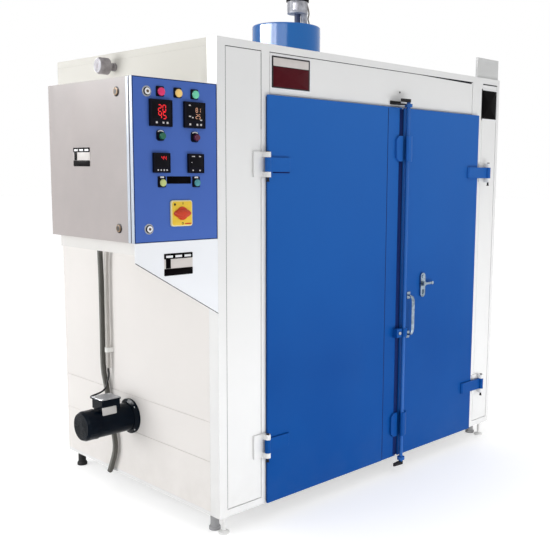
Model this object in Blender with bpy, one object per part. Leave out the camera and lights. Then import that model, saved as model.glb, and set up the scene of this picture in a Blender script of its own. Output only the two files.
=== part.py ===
"""Hot air yarn dryer: an insulated two-leaf drying cabinet with its control box, blower drum and motors.

Metres, +Z up. Sizes are given from the cabinet's front left bottom corner: X runs right along the front,
Y runs back from the front plane, Z runs up from the ground. One empty carries everything to the origin.
"""

import math

import bmesh
import bpy
from mathutils import Matrix, Vector

# Cabinet
WIDTH = 1.96
DEPTH = 1.22
HEIGHT = 2.0
SKIRT_Z = 0.08
WALL = 0.055
ROOF_THICK = 0.05
FLOOR_THICK = 0.05
TRAY_RIM = 0.016
SEAM_GAP = 0.003
SEAM_HEIGHTS = (0.31, 0.478)
TOUCH = 0.0003
SINK = 0.001

# Front frame
FRAME_DEPTH = 0.06
LEFT_POST_W = 0.041
RIGHT_POST_W = 0.022
LEFT_JAMB_X = (0.226, 0.269)
RIGHT_JAMB_W = 0.094
RIGHT_PANEL_W = 0.138
TOP_RAIL_H = 0.03
TOP_PANEL_H = 0.168
HEAD_H = 0.03
SILL_H = 0.03
PANEL_INSET = 0.001
PANEL_THICK = 0.012
PANEL_GAP = 0.003

# Main doors
DOOR_THICK = 0.010
DOOR_BACK_Y = -0.004
LEFT_DOOR_LAP = 0.021
RIGHT_DOOR_LAP = 0.049
DOOR_FOOT_GAP = 0.001
DOOR_HEAD_GAP = 0.002
STRIP_W = 0.107
STRIP_THICK = 0.005
LEAF_GAP = 0.014
PLUG_DEPTH = 0.045
PLUG_INSET = 0.016
GASKET_W = 0.02
STRIKE_W = 0.046
STRIKE_OUT = 0.006
STRIKE_H = 0.12
STRIKE_CORNER = 0.018
LOW_STRIKE_UP = 0.106
HIGH_STRIKE_DOWN = 0.253
LATCH_TAB_W = 0.038
LATCH_TAB_Z = (0.692, 0.735)
LATCH_TAB_OUT = 0.029

# Door hinges
HINGE_AXIS_Y = -0.028
LEFT_HINGE_OUT = 0.0116
RIGHT_HINGE_OUT = 0.0795
BARREL_R = 0.0125
BARREL_H = 0.057
EAR_H = 0.0215
EAR_WEB = 0.017
HINGE_GAP = 0.0008
LEAF_SLACK = 0.0045
PIN_R = 0.0045
PIN_CLEAR = 0.0006
PIN_PROUD = 0.004
PIN_TAIL = 0.018
PIN_HEAD_R = 0.0065
LEFT_HINGES = (0.261, 0.28)
RIGHT_HINGES = (0.247, 0.3025)
STRAP_LEAN = 0.007
LEFT_STRAP_LEN = 0.12
LEFT_STRAP_T = 0.010
RIGHT_STRAP_LEN = 0.10
RIGHT_STRAP_T = 0.012
LEFT_PLATE_T = 0.008
LEFT_PLATE_W = 0.045
RIGHT_PLATE_T = 0.004
RIGHT_PLATE_W = 0.040

# Lock rod
ROD_R = 0.009
ROD_INSET = 0.006
ROD_Y = -0.032
ROD_BELOW = 0.041
ROD_ABOVE = 0.040
COLLAR_R = 0.019
COLLAR_H = 0.017
COLLAR_GAP = 0.002
CAM_HUB_R = 0.0115
TONGUE_LEN = 0.057
TONGUE_H = 0.014
TONGUE_T = 0.012
ROD_GUIDE_W = 0.033
TAB_GUIDE_W = 0.024
ROD_GUIDE_H = 0.12
GUIDE_CLEAR = 0.001
GUIDE_THICK = 0.003
KEEPER_W = 0.075
KEEPER_OUT = 0.042
KEEPER_T = 0.005
KEEPER_GAP = 0.009
KEEPER_SIDE = 0.006
KEEPER_RISE = 0.012

# Handle and lock
HANDLE_X = 0.059
HANDLE_Z = (0.684, 0.901)
HANDLE_W = 0.020
HANDLE_T = 0.010
HANDLE_OUT = 0.032
HANDLE_PAD = 0.034
HANDLE_PAD_T = 0.003
LOCK_X = 0.164
LOCK_Z = (0.873, 0.9955)
LOCK_W = 0.036
LOCK_PLATE_T = 0.010
LOCK_BARREL_R = 0.009
LOCK_BARREL_OUT = 0.004
LOCK_BARREL_Z = 0.977
LEVER_Z = 0.941
LEVER_BOSS_R = 0.013
LEVER_BOSS_H = 0.006
LEVER_HUB_R = 0.011
LEVER_T = 0.007
LEVER_LEN = 0.062
LEVER_TIP_R = 0.0085
RECESS_R = 0.013
RECESS_Z = (0.891, 0.912)

# Control box
BOX_OUT = 0.375
BOX_DEPTH = 0.60
BOX_H = 0.59
BOX_DROP = 0.18
BOX_SHEET = 0.003
BOX_LIP = 0.018
BOX_RIM = 0.006
BOX_DOOR = 0.018
BOX_DOOR_GAP = 0.002
SIDE_DOOR_GAP = 0.0055
TROUGH_DROP = 0.046
GUSSET_EDGE = 0.073
GUSSET_DROP = 0.297
TROUGH_INSET = 0.02
TROUGH_BACK = 0.57
GUSSET_THICK = 0.003
LOCK_BEZEL_R = 0.014
LOCK_BEZEL_OUT = 0.006
LOCK_INSET = 0.05
LOCK_EDGE = 0.06
SIDE_LOCK_Y = 0.10

# Control door fittings
LARGE_CONTROLLER = 0.096
SMALL_CONTROLLER = 0.072
CONTROLLER_OUT = 0.010
LARGE_CENTRES = ((0.115, 0.123), (0.264, 0.123))
SMALL_CENTRES = ((0.115, 0.301), (0.268, 0.301))
LAMP_R = 0.0145
LAMP_OUT = 0.016
LAMP_CENTRES = ((0.116, 0.048), (0.192, 0.048), (0.268, 0.048), (0.118, 0.373), (0.272, 0.373))
BUTTON_R = 0.014
BUTTON_OUT = 0.020
BUTTON_CENTRES = ((0.115, 0.205), (0.268, 0.205))
SWITCH_PLATE = 0.096
SWITCH_PLATE_OUT = 0.008
SWITCH_CENTRE = (0.201, 0.486)
KNOB_R = 0.021
KNOB_OUT = 0.026

# Side motor
MOTOR_BACK = 0.045
MOTOR_Z = 0.38
FLANGE_R = 0.080
FLANGE_T = 0.010
MOTOR_R = 0.060
MOTOR_LEN = 0.165
FAN_COVER_R = 0.066
FAN_COVER_LEN = 0.065
FINS = 20
FIN_H = 0.006
TERMINAL_BOX = (0.090, 0.088, 0.052)
TERMINAL_PLACE = 0.63
FLANGE_BOSS = 0.010

# Temperature sensor
SENSOR_Y = 0.712
SENSOR_DROP = 0.062
SENSOR_R = 0.036
SENSOR_LEN = 0.052
SENSOR_NECK = 0.034

# Conduits
CONDUIT_R = 0.013
LEAD_R = 0.010
CABLE_R = 0.0045
CONDUIT_WALL_GAP = 0.006
SUPPLY_EXIT_UP = 0.07
SUPPLY_EXIT_OUT = 0.03
SUPPLY_RUN_BACK = 0.24
SUPPLY_END_Z = 0.08
LEAD_EXIT_UP = 0.03
LEAD_RUN_BACK = 0.195
LEAD_END_Z = 0.58
SWAY_Z = 0.58
SWAY = 0.09
CLIP_Z = 0.655
CLIP_H = 0.022
CLIP_CLEAR = 0.0003
CLIP_THICK = 0.004

# Roof blower
DRUM_OFF = 0.05
DRUM_R = 0.171
DRUM_H = 0.213
SHAFT_OFF = 0.078
NECK_R = 0.014
NECK_H = 0.079
STOOL_R = 0.052
STOOL_H = 0.058
ROOF_MOTOR_R = 0.058
ROOF_MOTOR_H = 0.15
ROOF_COWL_H = 0.045

# Roof corner box
CORNER_BOX_W = 0.198
CORNER_BOX_INSET = 0.002
CORNER_BOX_Y = (0.010, 0.024)
CORNER_BOX_H = 0.105

# Feet
FOOT_R = 0.024
FOOT_PAD_H = 0.014
FOOT_STUD_R = 0.008
FOOT_NUT_H = 0.012
FOOT_INSET = 0.045

# Places that follow from the sizes above
PANEL_LEFT_X = WIDTH - RIGHT_POST_W - RIGHT_PANEL_W
RIGHT_JAMB_X = (PANEL_LEFT_X - RIGHT_JAMB_W, PANEL_LEFT_X)
HEAD_TOP_Z = HEIGHT - TOP_RAIL_H - TOP_PANEL_H
HEAD_Z = (HEAD_TOP_Z - HEAD_H, HEAD_TOP_Z)
DOOR_X = (LEFT_JAMB_X[1] - LEFT_DOOR_LAP, RIGHT_JAMB_X[0] + RIGHT_DOOR_LAP)
DOOR_Z = (SKIRT_Z + DOOR_FOOT_GAP, HEAD_Z[1] - DOOR_HEAD_GAP)
MEETING_X = (DOOR_X[0] + DOOR_X[1]) / 2
STRIP_END_X = MEETING_X + STRIP_W
LEAF_X = STRIP_END_X + LEAF_GAP
ROD_X = LEAF_X + ROD_INSET
FRONT_FACE_Y = DOOR_BACK_Y - DOOR_THICK
BOX_Z = (HEIGHT - BOX_DROP - BOX_H, HEIGHT - BOX_DROP)
TROUGH_Z = BOX_Z[0] - TROUGH_DROP
GUSSET_WALL_Z = BOX_Z[0] - GUSSET_DROP
DRUM_X = WIDTH / 2 - DRUM_OFF
DRUM_Y = DEPTH / 2
SHAFT_X = DRUM_X + SHAFT_OFF
MOTOR_Y = BOX_DEPTH + MOTOR_BACK
ORIGIN_X = (WIDTH - BOX_OUT - LOCK_BEZEL_OUT) / 2
ORIGIN_Y = (DEPTH + FRONT_FACE_Y - TOUCH - HANDLE_OUT - HANDLE_T / 2) / 2

COLOURS = {
    "white_paint": ((0.86, 0.86, 0.85, 1), 0.45, 0.0),
    "blue_paint": ((0.035, 0.16, 0.50, 1), 0.35, 0.0),
    "grey_paint": ((0.62, 0.61, 0.60, 1), 0.45, 0.0),
    "inner_steel": ((0.55, 0.55, 0.54, 1), 0.40, 0.8),
    "black_rubber": ((0.02, 0.02, 0.02, 1), 0.8, 0.0),
    "zinc_steel": ((0.62, 0.62, 0.60, 1), 0.35, 0.9),
    "white_plastic": ((0.85, 0.85, 0.82, 1), 0.4, 0.0),
    "chrome": ((0.8, 0.8, 0.8, 1), 0.12, 1.0),
    "dark_steel": ((0.06, 0.06, 0.07, 1), 0.45, 0.6),
    "motor_paint": ((0.03, 0.06, 0.10, 1), 0.4, 0.2),
    "black_plastic": ((0.02, 0.02, 0.02, 1), 0.35, 0.0),
    "lamp_plastic": ((0.7, 0.1, 0.05, 1), 0.25, 0.0),
    "yellow_plastic": ((0.9, 0.72, 0.03, 1), 0.35, 0.0),
    "red_plastic": ((0.75, 0.05, 0.03, 1), 0.3, 0.0),
    "cast_aluminium": ((0.66, 0.66, 0.65, 1), 0.4, 0.8),
    "grey_plastic": ((0.42, 0.42, 0.40, 1), 0.5, 0.0),
}


def clear_scene():
    for item in list(bpy.data.objects):
        bpy.data.objects.remove(item, do_unlink=True)


def material(name):
    found = bpy.data.materials.get(name)
    if found:
        return found
    colour, roughness, metallic = COLOURS[name]
    made = bpy.data.materials.new(name)
    made.use_nodes = True
    shader = made.node_tree.nodes["Principled BSDF"]
    shader.inputs["Base Color"].default_value = colour
    shader.inputs["Roughness"].default_value = roughness
    shader.inputs["Metallic"].default_value = metallic
    made.diffuse_color = colour
    return made


def finish(name, bm, paint, parent, smooth=False):
    """Turn a bmesh into an object under its parent; coordinates stay those of the cabinet."""
    bmesh.ops.recalc_face_normals(bm, faces=bm.faces)
    mesh = bpy.data.meshes.new(name)
    origin = parent_origin(parent)
    bmesh.ops.translate(bm, verts=bm.verts, vec=-origin)
    bm.to_mesh(mesh)
    bm.free()
    obj = bpy.data.objects.new(name, mesh)
    bpy.context.scene.collection.objects.link(obj)
    obj.parent = parent
    mesh.materials.append(material(paint))
    if smooth:
        mesh.shade_smooth()
        mesh.set_sharp_from_angle(angle=math.radians(35))
    return obj


def parent_origin(parent):
    """Place of a parent empty in the cabinet's own sizes."""
    place = Vector((0, 0, 0))
    while parent is not None and parent.parent is not None:
        place += parent.location
        parent = parent.parent
    return place


def empty(name, place, parent):
    """An empty on a joint's axis, at a place in the cabinet's own sizes."""
    obj = bpy.data.objects.new(name, None)
    bpy.context.scene.collection.objects.link(obj)
    if parent is not None:
        obj.location = Vector(place) - parent_origin(parent)
        obj.parent = parent
    else:
        obj.location = place
    return obj


def add_box(bm, low, high):
    size = Vector(high) - Vector(low)
    centre = (Vector(high) + Vector(low)) / 2
    place = Matrix.Translation(centre) @ Matrix.Diagonal((size.x, size.y, size.z, 1))
    return bmesh.ops.create_cube(bm, size=1.0, matrix=place)["verts"]


def add_stack(bm, axis, levels):
    """Closed body through rectangles: each level holds its place along the axis and two spans across it."""
    order = {"Y": (0, 2, 1), "Z": (0, 1, 2)}[axis]
    rings = []
    for place, across, along in levels:
        ring = []
        for first, second in ((0, 0), (1, 0), (1, 1), (0, 1)):
            co = [0.0, 0.0, 0.0]
            co[order[0]], co[order[1]], co[order[2]] = across[first], along[second], place
            ring.append(bm.verts.new(co))
        rings.append(ring)
    bm.faces.new(rings[0])
    bm.faces.new(rings[-1])
    for lower, upper in zip(rings, rings[1:]):
        for step in range(4):
            after = (step + 1) % 4
            bm.faces.new((lower[step], lower[after], upper[after], upper[step]))


def add_prism(bm, outline, axis, start, end):
    """Closed outline, in the two axes after the given one, carried along that axis."""
    order = {"X": (1, 2, 0), "Y": (0, 2, 1), "Z": (0, 1, 2)}[axis]
    verts = []
    for point in outline:
        co = [0.0, 0.0, 0.0]
        co[order[0]], co[order[1]], co[order[2]] = point[0], point[1], start
        verts.append(bm.verts.new(co))
    face = bm.faces.new(verts)
    moved = bmesh.ops.extrude_face_region(bm, geom=[face])["geom"]
    shift = [0.0, 0.0, 0.0]
    shift[order[2]] = end - start
    bmesh.ops.translate(bm, verts=[v for v in moved if isinstance(v, bmesh.types.BMVert)], vec=shift)


def turn_to(axis):
    """Rotation that takes +Z to the given axis."""
    return Vector((0, 0, 1)).rotation_difference(Vector(axis)).to_matrix().to_4x4()


def add_turned(bm, profile, centre, axis, steps=24):
    """Solid of revolution: profile holds (radius, height along the axis) from axis to axis."""
    rings = []
    for radius, height in profile:
        if radius < 1e-6:
            rings.append([bm.verts.new((0, 0, height))])
            continue
        ring = []
        for step in range(steps):
            angle = 2 * math.pi * step / steps
            ring.append(bm.verts.new((radius * math.cos(angle), radius * math.sin(angle), height)))
        rings.append(ring)
    for lower, upper in zip(rings, rings[1:]):
        for step in range(steps):
            after = (step + 1) % steps
            if len(lower) == 1:
                bm.faces.new((lower[0], upper[step], upper[after]))
            elif len(upper) == 1:
                bm.faces.new((lower[step], upper[0], lower[after]))
            else:
                bm.faces.new((lower[step], upper[step], upper[after], lower[after]))
    place = Matrix.Translation(Vector(centre)) @ turn_to(axis)
    made = [v for ring in rings for v in ring]
    bmesh.ops.transform(bm, matrix=place, verts=made)


def add_cylinder(bm, radius, centre, axis, length, steps=24):
    add_turned(bm, ((0, 0), (radius, 0), (radius, length), (0, length)), centre, axis, steps)


def box_part(name, low, high, paint, parent, bevel=0.0):
    bm = bmesh.new()
    add_box(bm, low, high)
    obj = finish(name, bm, paint, parent)
    if bevel:
        edge = obj.modifiers.new("edge", "BEVEL")
        edge.width = bevel
        edge.segments = 2
        edge.limit_method = "ANGLE"
    return obj


def combine(base, name, bm, operation):
    """Join a shape to an object, or cut it out, with a Boolean modifier."""
    tool = finish("%s_%s" % (base.name, name), bm, base.data.materials[0].name, base.parent)
    tool.hide_render = True
    tool.display_type = "WIRE"
    step = base.modifiers.new(name, "BOOLEAN")
    step.operation = operation
    step.solver = "EXACT"
    step.object = tool
    return base


# Cabinet walls, floor and roof

def tray_levels(outer_z, rim_z, inner_z):
    """Plate whose rim closes the walls' ends and whose middle stands between them."""
    front = FRAME_DEPTH + TOUCH
    inner = (WALL + TOUCH, WIDTH - WALL - TOUCH)
    inner_depth = (front + SINK, DEPTH - WALL - TOUCH)
    return (
        (outer_z, (0, WIDTH), (front, DEPTH)),
        (rim_z, (0, WIDTH), (front, DEPTH)),
        (rim_z, inner, inner_depth),
        (inner_z, inner, inner_depth),
    )


def add_foot(bm, x, y):
    """Levelling foot: round pad, stud and lock nut, sunk a little into the metal above."""
    nut = SKIRT_Z - FOOT_NUT_H
    add_turned(bm, ((0, 0), (FOOT_R, 0), (FOOT_R, FOOT_PAD_H * 0.6), (FOOT_STUD_R * 1.6, FOOT_PAD_H),
                    (FOOT_STUD_R, FOOT_PAD_H), (FOOT_STUD_R, nut), (FOOT_STUD_R * 1.9, nut),
                    (FOOT_STUD_R * 1.9, SKIRT_Z + SINK), (0, SKIRT_Z + SINK)), (x, y, 0), (0, 0, 1), 16)


def build_base(root):
    bm = bmesh.new()
    add_stack(bm, "Z", tray_levels(SKIRT_Z, SKIRT_Z + TRAY_RIM, SKIRT_Z + FLOOR_THICK))
    base = finish("base_tray", bm, "white_paint", root)
    feet = bmesh.new()
    for x in (FOOT_INSET, WIDTH - FOOT_INSET):
        add_foot(feet, x, DEPTH - FOOT_INSET)
    combine(base, "feet", feet, "UNION")


def wall_outline(outer, inner, low, high):
    """Section of a side wall in X and Z with a groove at each sheet seam on the outer face."""
    depth = SEAM_GAP if inner > outer else -SEAM_GAP
    points = [(inner, low), (outer, low)]
    for z in SEAM_HEIGHTS:
        points += [(outer, z - SEAM_GAP / 2), (outer + depth, z - SEAM_GAP / 2),
                   (outer + depth, z + SEAM_GAP / 2), (outer, z + SEAM_GAP / 2)]
    return points + [(outer, high), (inner, high)]


def build_walls(root):
    low = SKIRT_Z + TRAY_RIM + TOUCH
    high = HEIGHT - TOP_RAIL_H - TOUCH
    front = FRAME_DEPTH + TOUCH
    for name, outer, inner in (("left_wall", 0, WALL), ("right_wall", WIDTH, WIDTH - WALL)):
        bm = bmesh.new()
        add_prism(bm, wall_outline(outer, inner, low, high), "Y", front, DEPTH)
        finish(name, bm, "white_paint", root)
    side = WALL + TOUCH
    box_part("back_wall", (side, DEPTH - WALL, low), (WIDTH - side, DEPTH, high), "white_paint", root)
    bm = bmesh.new()
    add_stack(bm, "Z", tray_levels(HEIGHT, HEIGHT - TOP_RAIL_H, HEIGHT - ROOF_THICK))
    finish("roof_panel", bm, "white_paint", root)


def front_openings():
    """Name and X and Z span of each opening in the welded front frame."""
    rail = HEIGHT - TOP_RAIL_H
    sill = SKIRT_Z + SILL_H
    return {
        "left_front_panel": (LEFT_POST_W, LEFT_JAMB_X[0], sill, rail),
        "right_front_panel": (RIGHT_JAMB_X[1], WIDTH - RIGHT_POST_W, sill, rail),
        "top_front_panel": (LEFT_JAMB_X[1], RIGHT_JAMB_X[0], HEAD_Z[1], rail),
        "doorway": (LEFT_JAMB_X[1], RIGHT_JAMB_X[0], sill, HEAD_Z[0]),
    }


def build_front_frame(root):
    """Posts, jambs, rails, head and sill, welded as one frame that stands on the two front feet."""
    frame = box_part("front_frame", (0, 0, SKIRT_Z), (WIDTH, FRAME_DEPTH, HEIGHT), "white_paint", root)
    holes = bmesh.new()
    for left, right, low, high in front_openings().values():
        add_box(holes, (left, -SINK, low), (right, FRAME_DEPTH + SINK, high))
    combine(frame, "openings", holes, "DIFFERENCE")
    feet = bmesh.new()
    for x in (FOOT_INSET, WIDTH - FOOT_INSET):
        add_foot(feet, x, FRAME_DEPTH / 2)
    combine(frame, "feet", feet, "UNION")


def build_front_panels(root):
    """Inset panels: a shadow gap in front and a closer fit behind it."""
    for name, (left, right, low, high) in front_openings().items():
        if name == "doorway":
            continue
        steps = ((PANEL_INSET, PANEL_GAP), (PANEL_THICK, PANEL_GAP), (PANEL_THICK, TOUCH),
                 (FRAME_DEPTH, TOUCH))
        levels = [(y, (left + gap, right - gap), (low + gap, high - gap)) for y, gap in steps]
        bm = bmesh.new()
        add_stack(bm, "Y", levels)
        finish(name, bm, "white_paint", root)


# Main doors

def build_leaf(name, left, right, parent, paint="blue_paint", thick=DOOR_THICK, bevel=0.003):
    low = (left, DOOR_BACK_Y - thick, DOOR_Z[0])
    return box_part(name, low, (right, DOOR_BACK_Y, DOOR_Z[1]), paint, parent, bevel)


def build_plug(name, left, right, parent):
    low = SKIRT_Z + SILL_H + PLUG_INSET
    high = HEAD_Z[0] - PLUG_INSET
    box_part(name, (left, DOOR_BACK_Y + TOUCH, low), (right, PLUG_DEPTH, high), "inner_steel", parent, 0.003)


def build_doors(left_door, right_door, root):
    build_leaf("left_door_panel", DOOR_X[0], MEETING_X, left_door)
    start = MEETING_X + TOUCH
    face = DOOR_BACK_Y - STRIP_THICK
    opposite = (STRIP_END_X, DOOR_BACK_Y, DOOR_Z[1])
    strip = box_part("left_door_strip", (start, face, DOOR_Z[0]), opposite, "blue_paint", left_door)
    strikes = bmesh.new()
    for low in (DOOR_Z[0] + LOW_STRIKE_UP, DOOR_Z[1] - HIGH_STRIKE_DOWN):
        add_strike(strikes, low, face + SINK)
    low, high = LATCH_TAB_Z
    add_box(strikes, (STRIP_END_X - LATCH_TAB_W, face - LATCH_TAB_OUT, low),
            (STRIP_END_X - SINK, face + SINK, high))
    combine(strip, "strikes", strikes, "UNION")
    right_panel = build_leaf("right_door_panel", LEAF_X, DOOR_X[1], right_door)
    build_plug("left_door_plug", LEFT_JAMB_X[1] + PLUG_INSET, STRIP_END_X - PLUG_INSET, left_door)
    build_plug("right_door_plug", LEAF_X + PLUG_INSET, RIGHT_JAMB_X[0] - PLUG_INSET, right_door)
    bm = bmesh.new()
    depth = -DOOR_BACK_Y - 2 * TOUCH
    left = LEFT_JAMB_X[1] - GASKET_W
    right = RIGHT_JAMB_X[0] + GASKET_W
    low = SKIRT_Z + SILL_H - GASKET_W
    high = HEAD_Z[0] + GASKET_W
    outer = ((left, low), (right, low), (right, high), (left, high))
    inset = GASKET_W * 0.7
    inner = ((left + inset, low + inset), (right - inset, low + inset), (right - inset, high - inset),
             (left + inset, high - inset))
    add_ring(bm, outer, inner, -depth - TOUCH, -TOUCH)
    finish("doorway_gasket", bm, "black_rubber", root)
    return right_panel


def add_strike(bm, low, back):
    """Block on the meeting strip, its outer corners cut off."""
    left = STRIP_END_X - STRIKE_W
    right = STRIP_END_X - SINK
    high = low + STRIKE_H
    cut = STRIKE_CORNER
    outline = [(left, low + cut), (left + cut, low), (right, low), (right, high), (left + cut, high),
               (left, high - cut)]
    add_prism(bm, outline, "Y", FRONT_FACE_Y - STRIKE_OUT, back)


def add_ring(bm, outer, inner, front, back):
    """Flat frame between two outlines of X and Z with the same number of corners."""
    loops = []
    for outline, y in ((outer, front), (inner, front), (inner, back), (outer, back)):
        loops.append([bm.verts.new((x, y, z)) for x, z in outline])
    count = len(outer)
    for first, second in zip(loops, loops[1:] + loops[:1]):
        for step in range(count):
            after = (step + 1) % count
            bm.faces.new((first[step], first[after], second[after], second[step]))


# Hinges

def hinge_axis(side):
    if side == "left":
        return DOOR_X[0] - LEFT_HINGE_OUT
    return DOOR_X[1] + RIGHT_HINGE_OUT


def build_hinges(side, places, root, door):
    """Three-knuckle hinges: two ears and a pin on the frame, a bored barrel and a strap on the door."""
    x = hinge_axis(side)
    out = -1 if side == "left" else 1
    middles = (DOOR_Z[0] + places[0], DOOR_Z[1] - places[1])
    for place, middle in zip(("lower", "upper"), middles):
        half = BARREL_H / 2
        ear = half + HINGE_GAP
        bm = bmesh.new()
        add_frame_plate(bm, x, side, middle - ear - EAR_H, middle + ear + EAR_H)
        plate = finish("%s_%s_frame_hinge" % (side, place), bm, "white_paint", root, smooth=True)
        for name, low in (("low_ear", middle - ear - EAR_H), ("high_ear", middle + ear)):
            knuckle = bmesh.new()
            add_ear(knuckle, x, out, low, low + EAR_H)
            combine(plate, name, knuckle, "UNION")
        pin = bmesh.new()
        low = -ear - EAR_H - PIN_TAIL
        high = ear + EAR_H + PIN_PROUD
        profile = ((0, low), (PIN_HEAD_R, low), (PIN_HEAD_R, low + PIN_PROUD), (PIN_R, low + PIN_PROUD),
                   (PIN_R, high - PIN_PROUD), (PIN_HEAD_R, high - PIN_PROUD), (PIN_HEAD_R, high), (0, high))
        add_turned(pin, profile, (x, HINGE_AXIS_Y, middle), (0, 0, 1), 20)
        combine(plate, "pin", pin, "UNION")
        bm = bmesh.new()
        add_strap(bm, x, -out, side, middle - half, middle + half)
        strap = finish("%s_%s_door_hinge" % (side, place), bm, "blue_paint", door, smooth=True)
        barrel = bmesh.new()
        add_cylinder(barrel, BARREL_R, (x, HINGE_AXIS_Y, middle - half), (0, 0, 1), BARREL_H, 24)
        combine(strap, "barrel", barrel, "UNION")
        bore = bmesh.new()
        add_cylinder(bore, PIN_R + PIN_CLEAR, (x, HINGE_AXIS_Y, middle - half - SINK), (0, 0, 1),
                     BARREL_H + 2 * SINK, 20)
        combine(strap, "bore", bore, "DIFFERENCE")


def add_frame_plate(bm, x, side, low, high):
    """Plate on the frame's face, with a web that runs out under each ear."""
    face = -TOUCH
    if side == "left":
        edge = x - BARREL_R
        add_box(bm, (edge - LEFT_PLATE_W, face - LEFT_PLATE_T, low), (edge + EAR_WEB, face, high))
    else:
        add_box(bm, (x - BARREL_R - RIGHT_PLATE_W, face - RIGHT_PLATE_T, low), (x + BARREL_R, face, high))


def add_ear(bm, x, out, low, high):
    """Ear from the plate out to the pin, round at its front."""
    side = -out
    back = -TOUCH - SINK
    outline = [(x - side * BARREL_R, back)]
    steps = 10
    for step in range(steps + 1):
        angle = math.pi * step / steps
        outline.append((x - side * BARREL_R * math.cos(angle), HINGE_AXIS_Y - BARREL_R * math.sin(angle)))
    web = x - side * (BARREL_R - EAR_WEB)
    knee = FRONT_FACE_Y - LEAF_SLACK
    outline += [(x + side * BARREL_R, knee), (web, knee), (web, back)]
    add_prism(bm, outline, "Z", low, high)


def add_strap(bm, x, inward, side, low, high):
    """Strap from the barrel across the door's face, its far edge chamfered."""
    face = FRONT_FACE_Y - TOUCH
    thick = LEFT_STRAP_T if side == "left" else RIGHT_STRAP_T
    length = LEFT_STRAP_LEN if side == "left" else RIGHT_STRAP_LEN
    edge = DOOR_X[0] if side == "left" else DOOR_X[1]
    far = edge + inward * length
    front = face - thick
    chamfer = min(thick * 0.6, STRAP_LEAN)
    outline = [(x, face), (far, face), (far, front + chamfer), (far - inward * chamfer, front),
               (x + inward * BARREL_R * 0.6, front), (x, HINGE_AXIS_Y)]
    add_prism(bm, outline, "Z", low, high)


# Lock rod, handle and lock

def build_lock_rod(rod, right_panel):
    """Full-height rod with a collar near each end, a cam on both ends, and its guides on the leaf."""
    low = DOOR_Z[0] - ROD_BELOW + TONGUE_H
    high = DOOR_Z[1] + ROD_ABOVE - TONGUE_H
    profile = [(0, low), (ROD_R, low)]
    for start in (DOOR_Z[0] - COLLAR_GAP - COLLAR_H, DOOR_Z[1] + COLLAR_GAP):
        end = start + COLLAR_H
        profile += [(ROD_R, start), (COLLAR_R, start + SINK), (COLLAR_R, end - SINK), (ROD_R, end)]
    profile += [(ROD_R, high), (0, high)]
    bm = bmesh.new()
    add_turned(bm, profile, (ROD_X, ROD_Y, 0), (0, 0, 1), 20)
    finish("lock_rod", bm, "blue_paint", rod, smooth=True)
    build_cam("lower_cam", low - TOUCH - TONGUE_H, rod)
    build_cam("upper_cam", high + TOUCH, rod)
    guides = bmesh.new()
    for start in (DOOR_Z[0] + LOW_STRIKE_UP, DOOR_Z[1] - HIGH_STRIKE_DOWN):
        add_guide(guides, start, start + ROD_GUIDE_H, ROD_GUIDE_W)
    add_guide(guides, LATCH_TAB_Z[0], LATCH_TAB_Z[1], TAB_GUIDE_W)
    combine(right_panel, "guides", guides, "UNION")


def build_cam(name, low, rod):
    """Cam whose tongue points to the left door: a hub on the rod's end, tapered to a round end."""
    half = TONGUE_T / 2
    end = ROD_X - TONGUE_LEN + half
    outline = []
    steps = 8
    for step in range(steps + 1):
        angle = math.pi * step / steps
        outline.append((ROD_X + CAM_HUB_R * math.sin(angle), ROD_Y - CAM_HUB_R * math.cos(angle)))
    for step in range(steps + 1):
        angle = math.pi * step / steps
        outline.append((end - half * math.sin(angle), ROD_Y + half * math.cos(angle)))
    bm = bmesh.new()
    add_prism(bm, outline, "Z", low, low + TONGUE_H)
    finish(name, bm, "dark_steel", rod, smooth=True)


def add_guide(bm, low, high, width):
    """Block over the rod: round inside, square outside, standing on the leaf's face."""
    clear = ROD_R + GUIDE_CLEAR
    left = ROD_X - clear - GUIDE_THICK
    right = ROD_X + width
    front = ROD_Y - clear - GUIDE_THICK
    face = FRONT_FACE_Y + SINK
    corner = clear * 0.6
    outline = [(left, ROD_Y), (left, front + corner), (left + corner, front), (ROD_X + clear, front),
               (right, front + clear), (right, face), (ROD_X + clear, face), (ROD_X + clear, ROD_Y)]
    steps = 10
    for step in range(1, steps + 1):
        angle = math.pi * step / steps
        outline.append((ROD_X + clear * math.cos(angle), ROD_Y - clear * math.sin(angle)))
    add_prism(bm, outline, "Z", low, high)


def build_keepers(root):
    """Angle on the top panel whose shelf stands under the rod's upper tongue."""
    face = PANEL_INSET - TOUCH
    top = DOOR_Z[1] + ROD_ABOVE - TONGUE_H - KEEPER_GAP
    low = top - KEEPER_T
    right = ROD_X - COLLAR_R - KEEPER_SIDE
    outline = [(face, low), (face - KEEPER_OUT, low), (face - KEEPER_OUT, top), (face - KEEPER_T, top),
               (face - KEEPER_T, top + KEEPER_RISE), (face, top + KEEPER_RISE)]
    bm = bmesh.new()
    add_prism(bm, outline, "X", right - KEEPER_W, right)
    finish("rod_keeper", bm, "zinc_steel", root)


def add_swept(bm, route, half_width, half_thick, steps=16):
    """Oval bar along a route in Y and Z, with flat ends."""
    rings = []
    last = len(route) - 1
    for number, point in enumerate(route):
        before = route[max(0, number - 1)]
        after = route[min(last, number + 1)]
        along = (Vector(after) - Vector(before)).normalized()
        across = Vector((0, -along.z, along.y))
        ring = []
        for step in range(steps):
            angle = 2 * math.pi * step / steps
            side = Vector((half_width * math.cos(angle), 0, 0))
            ring.append(bm.verts.new(Vector(point) + side + across * half_thick * math.sin(angle)))
        rings.append(ring)
    bm.faces.new(rings[0])
    bm.faces.new(rings[-1])
    for lower, upper in zip(rings, rings[1:]):
        for step in range(steps):
            after = (step + 1) % steps
            bm.faces.new((lower[step], lower[after], upper[after], upper[step]))


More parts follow.
